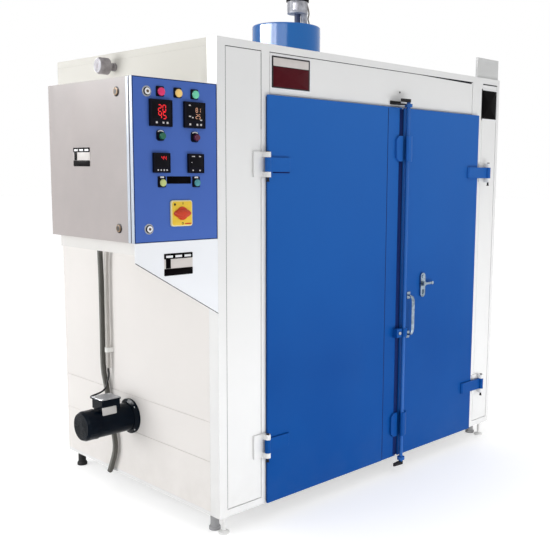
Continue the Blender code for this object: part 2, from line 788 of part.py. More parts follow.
def build_handle(right_door):
    """Bow handle: an oval bar that leaves the door's face square, runs up and comes back to it."""
    face = FRONT_FACE_Y - TOUCH
    x = LEAF_X + HANDLE_X
    low, high = HANDLE_Z
    start = low + HANDLE_T
    end = high - HANDLE_T
    half = ((0.0, 0.0), (0.25, 0.0), (0.5, 0.006), (0.75, 0.03), (0.92, 0.08), (0.985, 0.15), (1.0, 0.24),
            (1.0, 0.5))
    shape = half + tuple((out, 1 - up) for out, up in reversed(half[:-1]))
    knots = [Vector((x, face - HANDLE_OUT * out, start + (end - start) * up)) for out, up in shape]
    route = smooth_route(knots, HANDLE_T)
    bm = bmesh.new()
    add_swept(bm, route, HANDLE_W / 2, HANDLE_T / 2)
    bar = finish("pull_handle", bm, "chrome", right_door, smooth=True)
    pads = bmesh.new()
    for z in (start, end):
        add_box(pads, (x - HANDLE_W * 0.6, face - HANDLE_PAD_T, z - HANDLE_PAD / 2),
                (x + HANDLE_W * 0.6, face, z + HANDLE_PAD / 2))
    combine(bar, "pads", pads, "UNION")


def stadium(x, low, high, width, steps=10):
    """Outline in X and Z with half-round ends."""
    radius = width / 2
    points = []
    for centre, first in ((high - radius, 0.0), (low + radius, math.pi)):
        for step in range(steps + 1):
            angle = first + math.pi * step / steps
            points.append((x + radius * math.cos(angle), centre + radius * math.sin(angle)))
    return points


def build_door_lock(right_door, lever):
    """Round-ended plate with a key barrel, a finger recess and a boss that carries the lever."""
    face = FRONT_FACE_Y - TOUCH
    front = face - LOCK_PLATE_T
    x = LEAF_X + LOCK_X
    bm = bmesh.new()
    add_prism(bm, stadium(x, LOCK_Z[0], LOCK_Z[1], LOCK_W), "Y", front, face)
    plate = finish("door_lock", bm, "chrome", right_door, smooth=True)
    bosses = bmesh.new()
    for radius, z, out in ((LOCK_BARREL_R, LOCK_BARREL_Z, LOCK_BARREL_OUT),
                           (LEVER_BOSS_R, LEVER_Z, LEVER_BOSS_H)):
        add_cylinder(bosses, radius, (x, front + SINK, z), (0, -1, 0), out + SINK, 24)
    combine(plate, "bosses", bosses, "UNION")
    recess = bmesh.new()
    outline = stadium(x, RECESS_Z[0] - RECESS_R * 0.4, RECESS_Z[1], RECESS_R * 1.4)
    add_prism(recess, outline, "Y", front - SINK, face - LOCK_PLATE_T * 0.4)
    combine(plate, "recess", recess, "DIFFERENCE")
    back = front - LEVER_BOSS_H - TOUCH
    bm = bmesh.new()
    add_cylinder(bm, LEVER_HUB_R, (x, back, LEVER_Z), (0, -1, 0), LEVER_T, 24)
    arm = finish("lock_lever", bm, "chrome", lever, smooth=True)
    reach = bmesh.new()
    half = LEVER_HUB_R * 0.5
    add_box(reach, (x, back - LEVER_T + SINK, LEVER_Z - half),
            (x + LEVER_LEN, back - SINK, LEVER_Z + half))
    combine(arm, "arm", reach, "UNION")
    tip = bmesh.new()
    add_cylinder(tip, LEVER_TIP_R, (x + LEVER_LEN, back, LEVER_Z), (0, -1, 0), LEVER_T, 20)
    combine(arm, "tip", tip, "UNION")


# Control box

def build_control_box(root):
    sheet = BOX_SHEET
    low, high = BOX_Z
    front = BOX_DOOR + BOX_DOOR_GAP
    left = -BOX_OUT + BOX_DOOR + BOX_DOOR_GAP
    shell = box_part("control_box_shell", (left, front, low), (-TOUCH, BOX_DEPTH, high), "white_paint", root)
    lip = BOX_LIP
    seat = lip - BOX_RIM
    rims = bmesh.new()
    add_box(rims, (left + seat, BOX_DOOR + TOUCH, low + seat), (-seat, front + SINK, high - seat))
    add_box(rims, (-BOX_OUT + BOX_DOOR + TOUCH, front + seat, low + seat),
            (left + SINK, BOX_DEPTH - seat, high - seat))
    combine(shell, "rims", rims, "UNION")
    inner = (-sheet - TOUCH, BOX_DEPTH - sheet, high - sheet)
    hollows = (
        ("inside", (left + sheet, front + sheet, low + sheet), inner),
        ("front_mouth", (left + lip, 0, low + lip), (-lip, front + sheet + SINK, high - lip)),
        ("side_mouth", (-BOX_OUT, front + lip, low + lip),
         (left + sheet + SINK, BOX_DEPTH - lip, high - lip)),
    )
    for name, corner, opposite in hollows:
        tool = bmesh.new()
        add_box(tool, corner, opposite)
        combine(shell, name, tool, "DIFFERENCE")
    bm = bmesh.new()
    top = low - TOUCH
    add_box(bm, (-BOX_OUT + TROUGH_INSET, GUSSET_THICK + TOUCH, TROUGH_Z), (-TOUCH, TROUGH_BACK, top))
    finish("box_support", bm, "white_paint", root)
    bm = bmesh.new()
    outline = [(-BOX_OUT, top), (-BOX_OUT, low - GUSSET_EDGE), (-TOUCH, GUSSET_WALL_Z), (-TOUCH, top)]
    add_prism(bm, outline, "Y", 0, GUSSET_THICK)
    finish("support_gusset", bm, "white_paint", root)


def door_place(centre):
    """X and Z of a fitting given from the control door's upper outer corner."""
    return -BOX_OUT + centre[0], BOX_Z[1] - centre[1]


def build_control_door(door):
    low, high = BOX_Z
    opposite = (-BOX_DOOR_GAP, BOX_DOOR, high)
    panel = box_part("control_door_panel", (-BOX_OUT, 0, low), opposite, "blue_paint", door)
    number = 0
    for size, centres in ((LARGE_CONTROLLER, LARGE_CENTRES), (SMALL_CONTROLLER, SMALL_CENTRES)):
        half = size / 2
        for x, z in map(door_place, centres):
            number += 1
            box_part("temperature_controller_%d" % number, (x - half, -TOUCH - CONTROLLER_OUT, z - half),
                     (x + half, -TOUCH, z + half), "black_plastic", door, 0.002)
    fittings = bmesh.new()
    lens = LAMP_R * 0.8
    profile = ((0, 0), (LAMP_R, 0), (LAMP_R, 0.005), (lens, 0.006), (lens, LAMP_OUT * 0.7),
               (LAMP_R * 0.5, LAMP_OUT), (0, LAMP_OUT))
    for x, z in map(door_place, LAMP_CENTRES):
        add_turned(fittings, profile, (x, SINK, z), (0, -1, 0), 16)
    for x, z in map(door_place, BUTTON_CENTRES):
        add_turned(fittings, ((0, 0), (BUTTON_R, 0), (BUTTON_R, 0.010), (BUTTON_R * 0.8, 0.011),
                              (BUTTON_R * 0.8, BUTTON_OUT), (0, BUTTON_OUT)), (x, SINK, z), (0, -1, 0), 16)
    for z in (high - LOCK_INSET, low + LOCK_INSET):
        add_bezel(fittings, (-BOX_OUT + LOCK_EDGE, SINK, z), (0, -1, 0))
    combine(panel, "door_fittings", fittings, "UNION")
    half = SWITCH_PLATE / 2
    x, z = door_place(SWITCH_CENTRE)
    box_part("switch_plate", (x - half, -TOUCH - SWITCH_PLATE_OUT, z - half), (x + half, -TOUCH, z + half),
             "yellow_plastic", door, 0.002)


def add_bezel(bm, place, axis):
    """Round bezel of a quarter-turn lock, sunk a little into its door."""
    add_turned(bm, ((0, 0), (LOCK_BEZEL_R, 0), (LOCK_BEZEL_R, SINK + LOCK_BEZEL_OUT * 0.6),
                    (LOCK_BEZEL_R * 0.7, SINK + LOCK_BEZEL_OUT), (0, SINK + LOCK_BEZEL_OUT)), place, axis, 16)


def build_switch_knob(knob):
    x, z = door_place(SWITCH_CENTRE)
    bm = bmesh.new()
    face = -TOUCH - SWITCH_PLATE_OUT - TOUCH
    add_turned(bm, ((0, 0), (KNOB_R, 0), (KNOB_R, KNOB_OUT * 0.4), (KNOB_R * 0.9, KNOB_OUT), (0, KNOB_OUT)),
               (x, face, z), (0, -1, 0), 24)
    finish("switch_knob", bm, "red_plastic", knob, smooth=True)


def build_side_door(door):
    low, high = BOX_Z
    front = BOX_DOOR + SIDE_DOOR_GAP
    opposite = (-BOX_OUT + BOX_DOOR, BOX_DEPTH, high)
    panel = box_part("side_door_panel", (-BOX_OUT, front, low), opposite, "grey_paint", door)
    locks = bmesh.new()
    for z in (high - LOCK_INSET, low + LOCK_INSET):
        add_bezel(locks, (-BOX_OUT + SINK, SIDE_LOCK_Y, z), (-1, 0, 0))
    combine(panel, "side_locks", locks, "UNION")


# Side motor and sensor

def motor_body_start():
    """X where the motor's body meets its flange."""
    return -TOUCH - FLANGE_T - FLANGE_BOSS - TOUCH


def build_side_motor(root):
    start = -TOUCH
    axis = (-1, 0, 0)
    bm = bmesh.new()
    add_turned(bm, ((0, 0), (FLANGE_R, 0), (FLANGE_R, FLANGE_T), (MOTOR_R + 0.006, FLANGE_T + FLANGE_BOSS),
                    (0, FLANGE_T + FLANGE_BOSS)),
               (start, MOTOR_Y, MOTOR_Z), axis, 32)
    finish("motor_flange", bm, "motor_paint", root, smooth=True)
    body = motor_body_start()
    bm = bmesh.new()
    add_finned(bm, MOTOR_R - FIN_H, MOTOR_R, FINS, (body, MOTOR_Y, MOTOR_Z), axis, MOTOR_LEN)
    finish("motor_body", bm, "motor_paint", root)
    cover = body - MOTOR_LEN - TOUCH
    bm = bmesh.new()
    profile = ((0, 0), (FAN_COVER_R, 0), (FAN_COVER_R, FAN_COVER_LEN * 0.8),
               (FAN_COVER_R * 0.9, FAN_COVER_LEN), (0, FAN_COVER_LEN))
    add_turned(bm, profile, (cover, MOTOR_Y, MOTOR_Z), axis, 32)
    finish("motor_fan_cover", bm, "motor_paint", root, smooth=True)
    size = TERMINAL_BOX
    middle = body - MOTOR_LEN * TERMINAL_PLACE
    base = MOTOR_Z + MOTOR_R + TOUCH
    box_part("motor_terminal_box", (middle - size[0] / 2, MOTOR_Y - size[1] / 2, base),
             (middle + size[0] / 2, MOTOR_Y + size[1] / 2, base + size[2]), "motor_paint", root, 0.004)


def add_finned(bm, inner, outer, count, centre, axis, length):
    """Ribbed cylinder: a toothed outline carried along the axis."""
    outline = []
    for step in range(count):
        for part, radius in ((0.0, inner), (0.28, inner), (0.36, outer), (0.64, outer), (0.72, inner)):
            angle = 2 * math.pi * (step + part) / count
            outline.append((radius * math.cos(angle), radius * math.sin(angle)))
    bottom = [bm.verts.new((x, y, 0)) for x, y in outline]
    top = [bm.verts.new((x, y, length)) for x, y in outline]
    total = len(outline)
    bm.faces.new(bottom)
    bm.faces.new(top)
    for step in range(total):
        after = (step + 1) % total
        bm.faces.new((bottom[step], bottom[after], top[after], top[step]))
    place = Matrix.Translation(Vector(centre)) @ turn_to(axis)
    bmesh.ops.transform(bm, matrix=place, verts=bottom + top)


def build_sensor(root):
    bm = bmesh.new()
    neck = SENSOR_NECK
    tip = neck + SENSOR_LEN
    profile = ((0, 0), (0.018, 0), (0.018, 0.012), (0.012, 0.012), (0.012, neck), (SENSOR_R, neck + 0.004),
               (SENSOR_R, neck + SENSOR_LEN * 0.8), (SENSOR_R * 0.8, tip), (0, tip))
    add_turned(bm, profile, (-TOUCH, SENSOR_Y, HEIGHT - SENSOR_DROP), (-1, 0, 0), 24)
    finish("sensor_head", bm, "cast_aluminium", root, smooth=True)


# Conduits

def tube(name, points, radius, paint, parent):
    """Round tube along a smooth curve through the route's own points."""
    curve = bpy.data.curves.new(name, "CURVE")
    curve.dimensions = "3D"
    curve.bevel_depth = radius
    curve.bevel_resolution = 2
    curve.use_fill_caps = True
    line = curve.splines.new("POLY")
    smooth = smooth_route([Vector(p) for p in points], radius * 2)
    line.points.add(len(smooth) - 1)
    origin = parent_origin(parent)
    for target, point in zip(line.points, smooth):
        target.co = (*(point - origin), 1)
    obj = bpy.data.objects.new(name, curve)
    bpy.context.scene.collection.objects.link(obj)
    obj.parent = parent
    curve.materials.append(material(paint))
    return obj


def smooth_route(points, spacing):
    """Catmull-Rom curve through the points, read at about the given spacing."""
    route = []
    padded = [2 * points[0] - points[1]] + points + [2 * points[-1] - points[-2]]
    for a, b, c, d in zip(padded, padded[1:], padded[2:], padded[3:]):
        steps = max(1, round((c - b).length / spacing))
        for step in range(steps):
            t = step / steps
            route.append(0.5 * (2 * b + (c - a) * t + (2 * a - 5 * b + 4 * c - d) * t * t
                                + (3 * b - a - 3 * c + d) * t * t * t))
    return route + [points[-1]]


def leave_box(x, y, z, run_x, run_y, drop):
    """Route's first knots: square out of the box's back, then round and down to the wall."""
    across = run_x - x
    back = run_y - y
    knots = [(x, y, z), (x, y + back * 0.07, z)]
    for share, out, down in ((0.4, 0.0, 0.0), (0.74, 0.2, 0.14), (0.95, 0.7, 0.46), (1.0, 1.0, 1.0)):
        knots.append((x + across * out, y + back * share, z - drop * down))
    return knots


def build_conduits(root):
    """Two conduits from the control box's rear, down the wall, a clip on one, and the cable to the motor."""
    out = -CONDUIT_R - CONDUIT_WALL_GAP
    back = BOX_DEPTH + TOUCH
    low = BOX_Z[0]
    run_y = BOX_DEPTH + SUPPLY_RUN_BACK
    knots = leave_box(out - SUPPLY_EXIT_OUT, back, low + SUPPLY_EXIT_UP, out, run_y, SUPPLY_RUN_BACK * 1.3)
    fall = SWAY_Z - SUPPLY_END_Z
    knots += [(out, run_y, (knots[-1][2] + SWAY_Z) / 2)]
    for share, sway in ((0.0, 0.0), (0.17, 0.25), (0.46, 0.64), (0.73, 1.0), (0.93, 0.61), (1.0, 0.4)):
        knots.append((out, run_y - SWAY * sway, SWAY_Z - fall * share))
    tube("supply_conduit", knots, CONDUIT_R, "grey_plastic", root)
    lead_y = BOX_DEPTH + LEAD_RUN_BACK
    knots = leave_box(out, back, low + LEAD_EXIT_UP, out, lead_y, LEAD_RUN_BACK * 1.5)
    knots += [(out, lead_y, (knots[-1][2] + LEAD_END_Z) / 2), (out, lead_y, LEAD_END_Z + CONDUIT_R),
              (out, lead_y, LEAD_END_Z)]
    tube("motor_conduit", knots, LEAD_R, "grey_plastic", root)
    bm = bmesh.new()
    add_clip(bm, out, lead_y, LEAD_R + CLIP_CLEAR, CLIP_Z, CLIP_Z + CLIP_H)
    finish("conduit_clip", bm, "white_plastic", root, smooth=True)
    box_back = MOTOR_Y + TERMINAL_BOX[1] / 2 + TOUCH
    gland = motor_body_start() - MOTOR_LEN * TERMINAL_PLACE
    entry = MOTOR_Z + MOTOR_R + TERMINAL_BOX[2] / 2
    top = LEAD_END_Z - TOUCH
    free = lead_y - box_back
    tube("motor_cable", (
        (out, lead_y, top), (out, lead_y, top - CONDUIT_R), (out, lead_y, top - 3 * CONDUIT_R),
        ((3 * out + gland) / 4, lead_y, entry + CONDUIT_R), (gland, box_back + free * 0.8, entry),
        (gland, box_back + free * 0.4, entry), (gland, box_back + free * 0.15, entry),
        (gland, box_back, entry)), CABLE_R, "black_rubber", root)


def add_clip(bm, x, y, clear, low, high):
    """Saddle that holds a conduit to the wall: round outside, its two legs on the wall."""
    outer = []
    inner = []
    steps = 10
    reach = clear + CLIP_THICK
    for step in range(steps + 1):
        angle = math.pi * step / steps
        outer.append((x - reach * math.sin(angle), y - reach * math.cos(angle)))
        inner.append((x - clear * math.sin(angle), y - clear * math.cos(angle)))
    outline = [(-TOUCH, y - reach)] + outer + [(-TOUCH, y + reach), (-TOUCH, y + clear)]
    outline += list(reversed(inner)) + [(-TOUCH, y - clear)]
    add_prism(bm, outline, "Z", low, high)


# Roof

def build_roof_blower(root):
    bm = bmesh.new()
    base = HEIGHT + TOUCH
    add_turned(bm, ((0, 0), (DRUM_R, 0), (DRUM_R, DRUM_H - 0.012), (DRUM_R - 0.006, DRUM_H - 0.004),
                    (DRUM_R - 0.02, DRUM_H), (0, DRUM_H)), (DRUM_X, DRUM_Y, base), (0, 0, 1), 48)
    finish("blower_drum", bm, "blue_paint", root, smooth=True)
    base += DRUM_H + TOUCH
    bm = bmesh.new()
    add_turned(bm, ((0, 0), (NECK_R * 1.5, 0), (NECK_R * 1.5, 0.008), (NECK_R, 0.010), (NECK_R, NECK_H),
                    (STOOL_R, NECK_H), (STOOL_R, NECK_H + STOOL_H), (0, NECK_H + STOOL_H)),
               (SHAFT_X, DRUM_Y, base), (0, 0, 1), 32)
    finish("bearing_stool", bm, "cast_aluminium", root, smooth=True)
    base += NECK_H + STOOL_H + TOUCH
    bm = bmesh.new()
    add_finned(bm, ROOF_MOTOR_R - FIN_H, ROOF_MOTOR_R, FINS, (SHAFT_X, DRUM_Y, base), (0, 0, 1), ROOF_MOTOR_H)
    finish("roof_motor_body", bm, "dark_steel", root)
    base += ROOF_MOTOR_H + TOUCH
    bm = bmesh.new()
    profile = ((0, 0), (ROOF_MOTOR_R, 0), (ROOF_MOTOR_R, ROOF_COWL_H * 0.7),
               (ROOF_MOTOR_R * 0.85, ROOF_COWL_H), (0, ROOF_COWL_H))
    add_turned(bm, profile, (SHAFT_X, DRUM_Y, base), (0, 0, 1), 32)
    finish("roof_motor_cowl", bm, "dark_steel", root, smooth=True)
    right = WIDTH - CORNER_BOX_INSET
    box_part("roof_corner_box", (right - CORNER_BOX_W, CORNER_BOX_Y[0], HEIGHT + TOUCH),
             (right, CORNER_BOX_Y[1], HEIGHT + CORNER_BOX_H), "white_paint", root, 0.002)


def main():
    clear_scene()
    root = empty("dryer_origin", (-ORIGIN_X, -ORIGIN_Y, 0), None)
    left_door = empty("left_door_axis", (hinge_axis("left"), HINGE_AXIS_Y, 0), root)
    right_door = empty("right_door_axis", (hinge_axis("right"), HINGE_AXIS_Y, 0), root)
    rod = empty("lock_rod_axis", (ROD_X, ROD_Y, 0), right_door)
    control_door = empty("control_door_axis", (-BOX_DOOR_GAP, 0, 0), root)
    side_door = empty("side_door_axis", (-BOX_OUT, BOX_DEPTH, 0), root)
    across, up = door_place(SWITCH_CENTRE)
    knob = empty("switch_axis", (across, 0, up), control_door)
    lever = empty("lock_lever_axis", (LEAF_X + LOCK_X, 0, LEVER_Z), right_door)
    build_base(root)
    build_walls(root)
    build_front_frame(root)
    build_front_panels(root)
    right_panel = build_doors(left_door, right_door, root)
    build_hinges("left", LEFT_HINGES, root, left_door)
    build_hinges("right", RIGHT_HINGES, root, right_door)
    build_lock_rod(rod, right_panel)
    build_keepers(root)
    build_handle(right_door)
    build_door_lock(right_door, lever)
    build_control_box(root)
    build_control_door(control_door)
    build_side_door(side_door)
    build_switch_knob(knob)
    build_side_motor(root)
    build_sensor(root)
    build_conduits(root)
    build_roof_blower(root)


main()
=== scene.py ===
import logging
import math
from dataclasses import dataclass
from enum import Enum

import bmesh
import bpy
import numpy as np
from mathutils import Matrix, Vector


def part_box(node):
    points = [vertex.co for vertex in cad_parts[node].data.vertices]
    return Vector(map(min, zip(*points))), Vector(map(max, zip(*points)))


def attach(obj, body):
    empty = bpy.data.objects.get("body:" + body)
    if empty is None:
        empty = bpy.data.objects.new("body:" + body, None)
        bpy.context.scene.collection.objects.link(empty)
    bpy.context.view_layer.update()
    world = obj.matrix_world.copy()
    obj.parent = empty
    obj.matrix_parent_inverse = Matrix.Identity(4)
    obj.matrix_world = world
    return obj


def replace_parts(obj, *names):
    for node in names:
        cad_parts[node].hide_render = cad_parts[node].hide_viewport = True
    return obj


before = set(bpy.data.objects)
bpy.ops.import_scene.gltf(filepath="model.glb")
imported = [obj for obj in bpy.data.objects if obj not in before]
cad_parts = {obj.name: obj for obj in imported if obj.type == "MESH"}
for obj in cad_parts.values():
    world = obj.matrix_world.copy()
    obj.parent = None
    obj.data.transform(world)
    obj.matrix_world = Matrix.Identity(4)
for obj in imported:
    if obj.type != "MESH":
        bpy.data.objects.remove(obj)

LOG = logging.getLogger("yarn_dryer")
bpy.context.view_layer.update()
Colour = tuple[float, float, float]
Point = tuple[float, float, float]
Profile = list[tuple[float, float]]


# Surfaces

@dataclass(frozen=True)
class Skin:
    """Points of a surface and the corner numbers of its faces."""

    points: np.ndarray
    faces: list


@dataclass(frozen=True)
class Spot:
    """A place on the machine with its own directions: across, up and out of the surface."""

    origin: np.ndarray
    across: np.ndarray
    up: np.ndarray
    out: np.ndarray

    def place(self, local: np.ndarray) -> np.ndarray:
        """Turn local (across, up, out) points into the machine's frame.

        Args:
            local: array whose last axis holds across, up and out.

        Returns:
            Array of the same shape in X, Y and Z.
        """
        axes = np.stack((self.across, self.up, self.out))
        return self.origin + local @ axes

    def moved(self, across: float = 0.0, up: float = 0.0, out: float = 0.0) -> "Spot":
        """The same directions at a place shifted along them."""
        return Spot(self.place(np.array((across, up, out))), self.across, self.up, self.out)

    def tilted(self, angle: float) -> "Spot":
        """The same place with across and up turned round out by an angle in radians."""
        across = self.across * math.cos(angle) + self.up * math.sin(angle)
        up = -self.across * math.sin(angle) + self.up * math.cos(angle)
        return Spot(self.origin, across, up, self.out)


class Facing(Enum):
    """Which way a surface looks, as (across, up, out)."""

    FRONT = ((1, 0, 0), (0, 0, 1), (0, -1, 0))
    LEFT = ((0, -1, 0), (0, 0, 1), (-1, 0, 0))
    TOP = ((1, 0, 0), (0, 1, 0), (0, 0, 1))

    def at(self, x: float, y: float, z: float) -> Spot:
        """A spot at a place, looking this way."""
        across, up, out = (np.array(v, float) for v in self.value)
        return Spot(np.array((x, y, z), float), across, up, out)


def grid_skin(grid: np.ndarray, wrap: bool = False) -> Skin:
    """Join a grid of points with four-cornered faces.

    Args:
        grid: array of shape (rows, columns, 3).
        wrap: True where the last column meets the first.

    Returns:
        The skin through the grid.
    """
    rows, columns = grid.shape[:2]
    index = np.arange(rows * columns).reshape(rows, columns)
    after = np.roll(index, -1, axis=1)
    if not wrap:
        index, after = index[:, :-1], after[:, :-1]
    quads = np.stack((index[:-1], after[:-1], after[1:], index[1:]), axis=-1).reshape(-1, 4)
    return Skin(grid.reshape(-1, 3), quads.tolist())


def revolve(spot: Spot, profile: Profile, steps: int = 32) -> Skin:
    """Turn a profile round the spot's out direction.

    Point(u, v) = radius(u) * (cos v, sin v) across and up, height(u) out.

    Args:
        spot: centre of the foot of the shape.
        profile: (radius, height) pairs from one end to the other.
        steps: number of columns round the axis.

    Returns:
        The skin of the turned shape.
    """
    outline = np.array(profile, float)
    angle = np.linspace(0, 2 * math.pi, steps, endpoint=False)
    radius = outline[:, 0][:, None]
    height = np.broadcast_to(outline[:, 1][:, None], (len(profile), steps))
    local = np.stack((radius * np.cos(angle), radius * np.sin(angle), height), axis=-1)
    return grid_skin(spot.place(local), wrap=True)


def rounded_outline(width: float, height: float, corner: float, steps: int = 5) -> np.ndarray:
    """Rectangle whose corners are quarter circles: corner centre plus corner * (cos, sin).

    Args:
        width: size across.
        height: size up.
        corner: radius of the corners.
        steps: number of steps in each corner.

    Returns:
        Array of shape (4 * (steps + 1), 2).
    """
    quarter = np.repeat(np.arange(4), steps + 1)
    angle = quarter * math.pi / 2 + np.tile(np.linspace(0, math.pi / 2, steps + 1), 4)
    side_x = np.where((quarter == 0) | (quarter == 3), 1.0, -1.0)
    side_y = np.where(quarter < 2, 1.0, -1.0)
    x = side_x * (width / 2 - corner) + corner * np.cos(angle)
    y = side_y * (height / 2 - corner) + corner * np.sin(angle)
    return np.stack((x, y), axis=-1)


def slab(spot: Spot, width: float, height: float, corner: float, profile: Profile) -> Skin:
    """Plate with rounded corners whose edge follows a profile.

    Point(u, v) = outline of the rectangle less inset(u) at parameter v, height(u) out; the two ends close to
    the middle with a fan.

    Args:
        spot: middle of the plate's foot.
        width: size across.
        height: size up.
        corner: radius of the corners.
        profile: (inset, height) pairs from the foot to the face.

    Returns:
        The skin of the plate.
    """
    least_corner = 0.15 * corner
    rows = []
    for inset, level in profile:
        flat = rounded_outline(width - 2 * inset, height - 2 * inset, max(corner - inset, least_corner))
        rows.append(np.column_stack((flat, np.full(len(flat), level))))
    ends = [row * np.array((0.0, 0.0, 1.0)) for row in (rows[0], rows[-1])]
    return grid_skin(spot.place(np.stack([ends[0], *rows, ends[1]])), wrap=True)


def sweep(path: np.ndarray, radius: np.ndarray, steps: int = 16, normal: tuple = (1.0, 0.0, 0.0)) -> Skin:
    """Round tube along a path, closed at both ends.

    Point(u, v) = path(u) + radius(u) * (cos v * side(u) + sin v * rise(u)), where side is the fixed normal
    made square to the path's direction, and rise completes the frame.

    Args:
        path: array of shape (n, 3).
        radius: radius at each point of the path.
        steps: number of columns round the tube.
        normal: direction that is never along the path.

    Returns:
        The skin of the tube.
    """
    along = np.gradient(path, axis=0)
    along /= np.linalg.norm(along, axis=1)[:, None]
    fixed = np.array(normal, float)
    side = fixed - (along @ fixed)[:, None] * along
    side /= np.linalg.norm(side, axis=1)[:, None]
    rise = np.cross(along, side)
    angle = np.linspace(0, 2 * math.pi, steps, endpoint=False)
    ring = np.cos(angle)[None, :, None] * side[:, None] + np.sin(angle)[None, :, None] * rise[:, None]
    grid = path[:, None] + radius[:, None, None] * ring
    ends = (np.repeat(path[:1, None], steps, axis=1), np.repeat(path[-1:, None], steps, axis=1))
    return grid_skin(np.concatenate((ends[0], grid, ends[1])), wrap=True)


def smooth_path(knots: list[tuple[float, float, float]], spacing: float) -> np.ndarray:
    """Smooth curve through the knots.

    Between knots b and c, with a before and d after them, point(t) = (2b + (c - a) t + (2a - 5b + 4c - d)
    t ** 2 + (3b - a - 3c + d) t ** 3) / 2.

    Args:
        knots: places that the curve passes.
        spacing: distance between the points that come back.

    Returns:
        Array of shape (n, 3), evenly spaced along the curve.
    """
    given = np.array(knots, float)
    padded = np.vstack((2 * given[0] - given[1], given, 2 * given[-1] - given[-2]))
    t = np.linspace(0, 1, 24, endpoint=False)[:, None]
    a, b, c, d = padded[:-3, None], padded[1:-2, None], padded[2:-1, None], padded[3:, None]
    square, cube = 2 * a - 5 * b + 4 * c - d, 3 * b - a - 3 * c + d
    curve = 0.5 * (2 * b + (c - a) * t + square * t ** 2 + cube * t ** 3)
    dense = np.vstack((curve.reshape(-1, 3), given[-1]))
    length = np.concatenate(([0], np.cumsum(np.linalg.norm(np.diff(dense, axis=0), axis=1))))
    even = np.linspace(0, length[-1], max(2, int(length[-1] / spacing) + 1))
    return np.stack([np.interp(even, length, dense[:, axis]) for axis in range(3)], axis=-1)


def stacked(spot: Spot, outline: np.ndarray, profile: Profile) -> Skin:
    """Outline drawn at several heights.

    Point(u, v) = middle + share(u) * (outline(v) - middle), height(u) out.

    Args:
        spot: zero of the outline.
        outline: array of shape (n, 2), convex.
        profile: (share, height) pairs from the foot to the top; a share of 0 closes an end.

    Returns:
        The skin of the shape.
    """
    middle = outline.mean(axis=0)
    shares, levels = np.array(profile, float).T
    flat = middle + shares[:, None, None] * (outline - middle)
    height = np.broadcast_to(levels[:, None, None], flat.shape[:2] + (1,))
    return grid_skin(spot.place(np.concatenate((flat, height), axis=-1)), wrap=True)


def polygon_bar(spot: Spot, outline: np.ndarray, height: float) -> Skin:
    """Flat outline carried out by a height, closed at both ends.

    Args:
        spot: zero of the outline.
        outline: array of shape (n, 2), convex.
        height: thickness.

    Returns:
        The skin of the bar.
    """
    return stacked(spot, outline, [(0.0, 0.0), (1.0, 0.0), (1.0, height), (0.0, height)])


def arc_wall(spot: Spot, radii: tuple[float, float], angles: tuple[float, float],
             levels: tuple[float, float], steps: int = 16) -> Skin:
    """Curved wall round the spot's out direction.

    Point(u, v) = radius(v) * (cos a(u), sin a(u)) across and up, level(v) out, where v runs round the four
    corners of the wall's cross-section; both ends close to its middle.

    Args:
        spot: centre of the arc.
        radii: inner and outer radius.
        angles: first and last angle in radians, from across towards up.
        levels: lowest and highest distance out.
        steps: number of places along the arc.

    Returns:
        The skin of the wall.
    """
    (inner, outer), (low, high) = radii, levels
    angle = np.linspace(*angles, steps)
    angle = np.concatenate((angle[:1], angle, angle[-1:]))[:, None]
    radius = np.tile((inner, outer, outer, inner), (steps + 2, 1))
    level = np.tile((low, low, high, high), (steps + 2, 1))
    radius[[0, -1]] = (inner + outer) / 2
    level[[0, -1]] = (low + high) / 2
    local = np.stack((radius * np.cos(angle), radius * np.sin(angle), level), axis=-1)
    return grid_skin(spot.place(local), wrap=True)


def frame_skin(spot: Spot, width: float, height: float, thick: float, proud: float) -> Skin:
    """Flat picture frame: a four-cornered cross-section carried round a rectangle.

    Point(u, v) = corner(u) less inset(v) on both sides, level(v) out; the last corner meets the first.

    Args:
        spot: middle of the frame.
        width: outer size across.
        height: outer size up.
        thick: width of the frame's bars.
        proud: how far it stands out.

    Returns:
        The skin of the frame.
    """
    sunk = -0.0003
    inset = np.array((0.0, 0.0, thick, thick))
    level = np.array((sunk, proud, proud, sunk))
    signs = np.array(((1, 1), (-1, 1), (-1, -1), (1, -1), (1, 1)), float)
    x = signs[:, :1] * (width / 2 - inset)
    y = signs[:, 1:] * (height / 2 - inset)
    local = np.stack((x, y, np.broadcast_to(level, x.shape)), axis=-1)
    return grid_skin(spot.place(local), wrap=True)


def add_piece(name: str, skins: list[Skin], finish: "Finish", body: str,
              angle: float = 35.0) -> bpy.types.Object:
    """Make one object of the machine from skins and let it ride on a body.

    Args:
        name: name of the piece.
        skins: surfaces that the piece is made of.
        finish: its finish.
        body: CAD body that it moves with.
        angle: faces that meet at less than this many degrees are shaded smooth.

    Returns:
        The new object.
    """
    starts = np.cumsum([0] + [len(skin.points) for skin in skins])
    faces = np.vstack([np.array(skin.faces) + start for skin, start in zip(skins, starts)]).tolist()
    mesh = bpy.data.meshes.new(name)
    mesh.from_pydata(np.vstack([skin.points for skin in skins]).tolist(), [], faces)
    bm = bmesh.new()
    bm.from_mesh(mesh)
    bmesh.ops.remove_doubles(bm, verts=bm.verts, dist=1e-6)
    bmesh.ops.recalc_face_normals(bm, faces=bm.faces)
    bm.to_mesh(mesh)
    bm.free()
    mesh.shade_smooth()
    mesh.set_sharp_from_angle(angle=math.radians(angle))
    piece = bpy.data.objects.new(name, mesh)
    bpy.context.scene.collection.objects.link(piece)
    mesh.materials.append(finish.material())
    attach(piece, body)
    LOG.info("%s: %d faces on %s", name, len(mesh.polygons), body)
    return piece

# Node groups

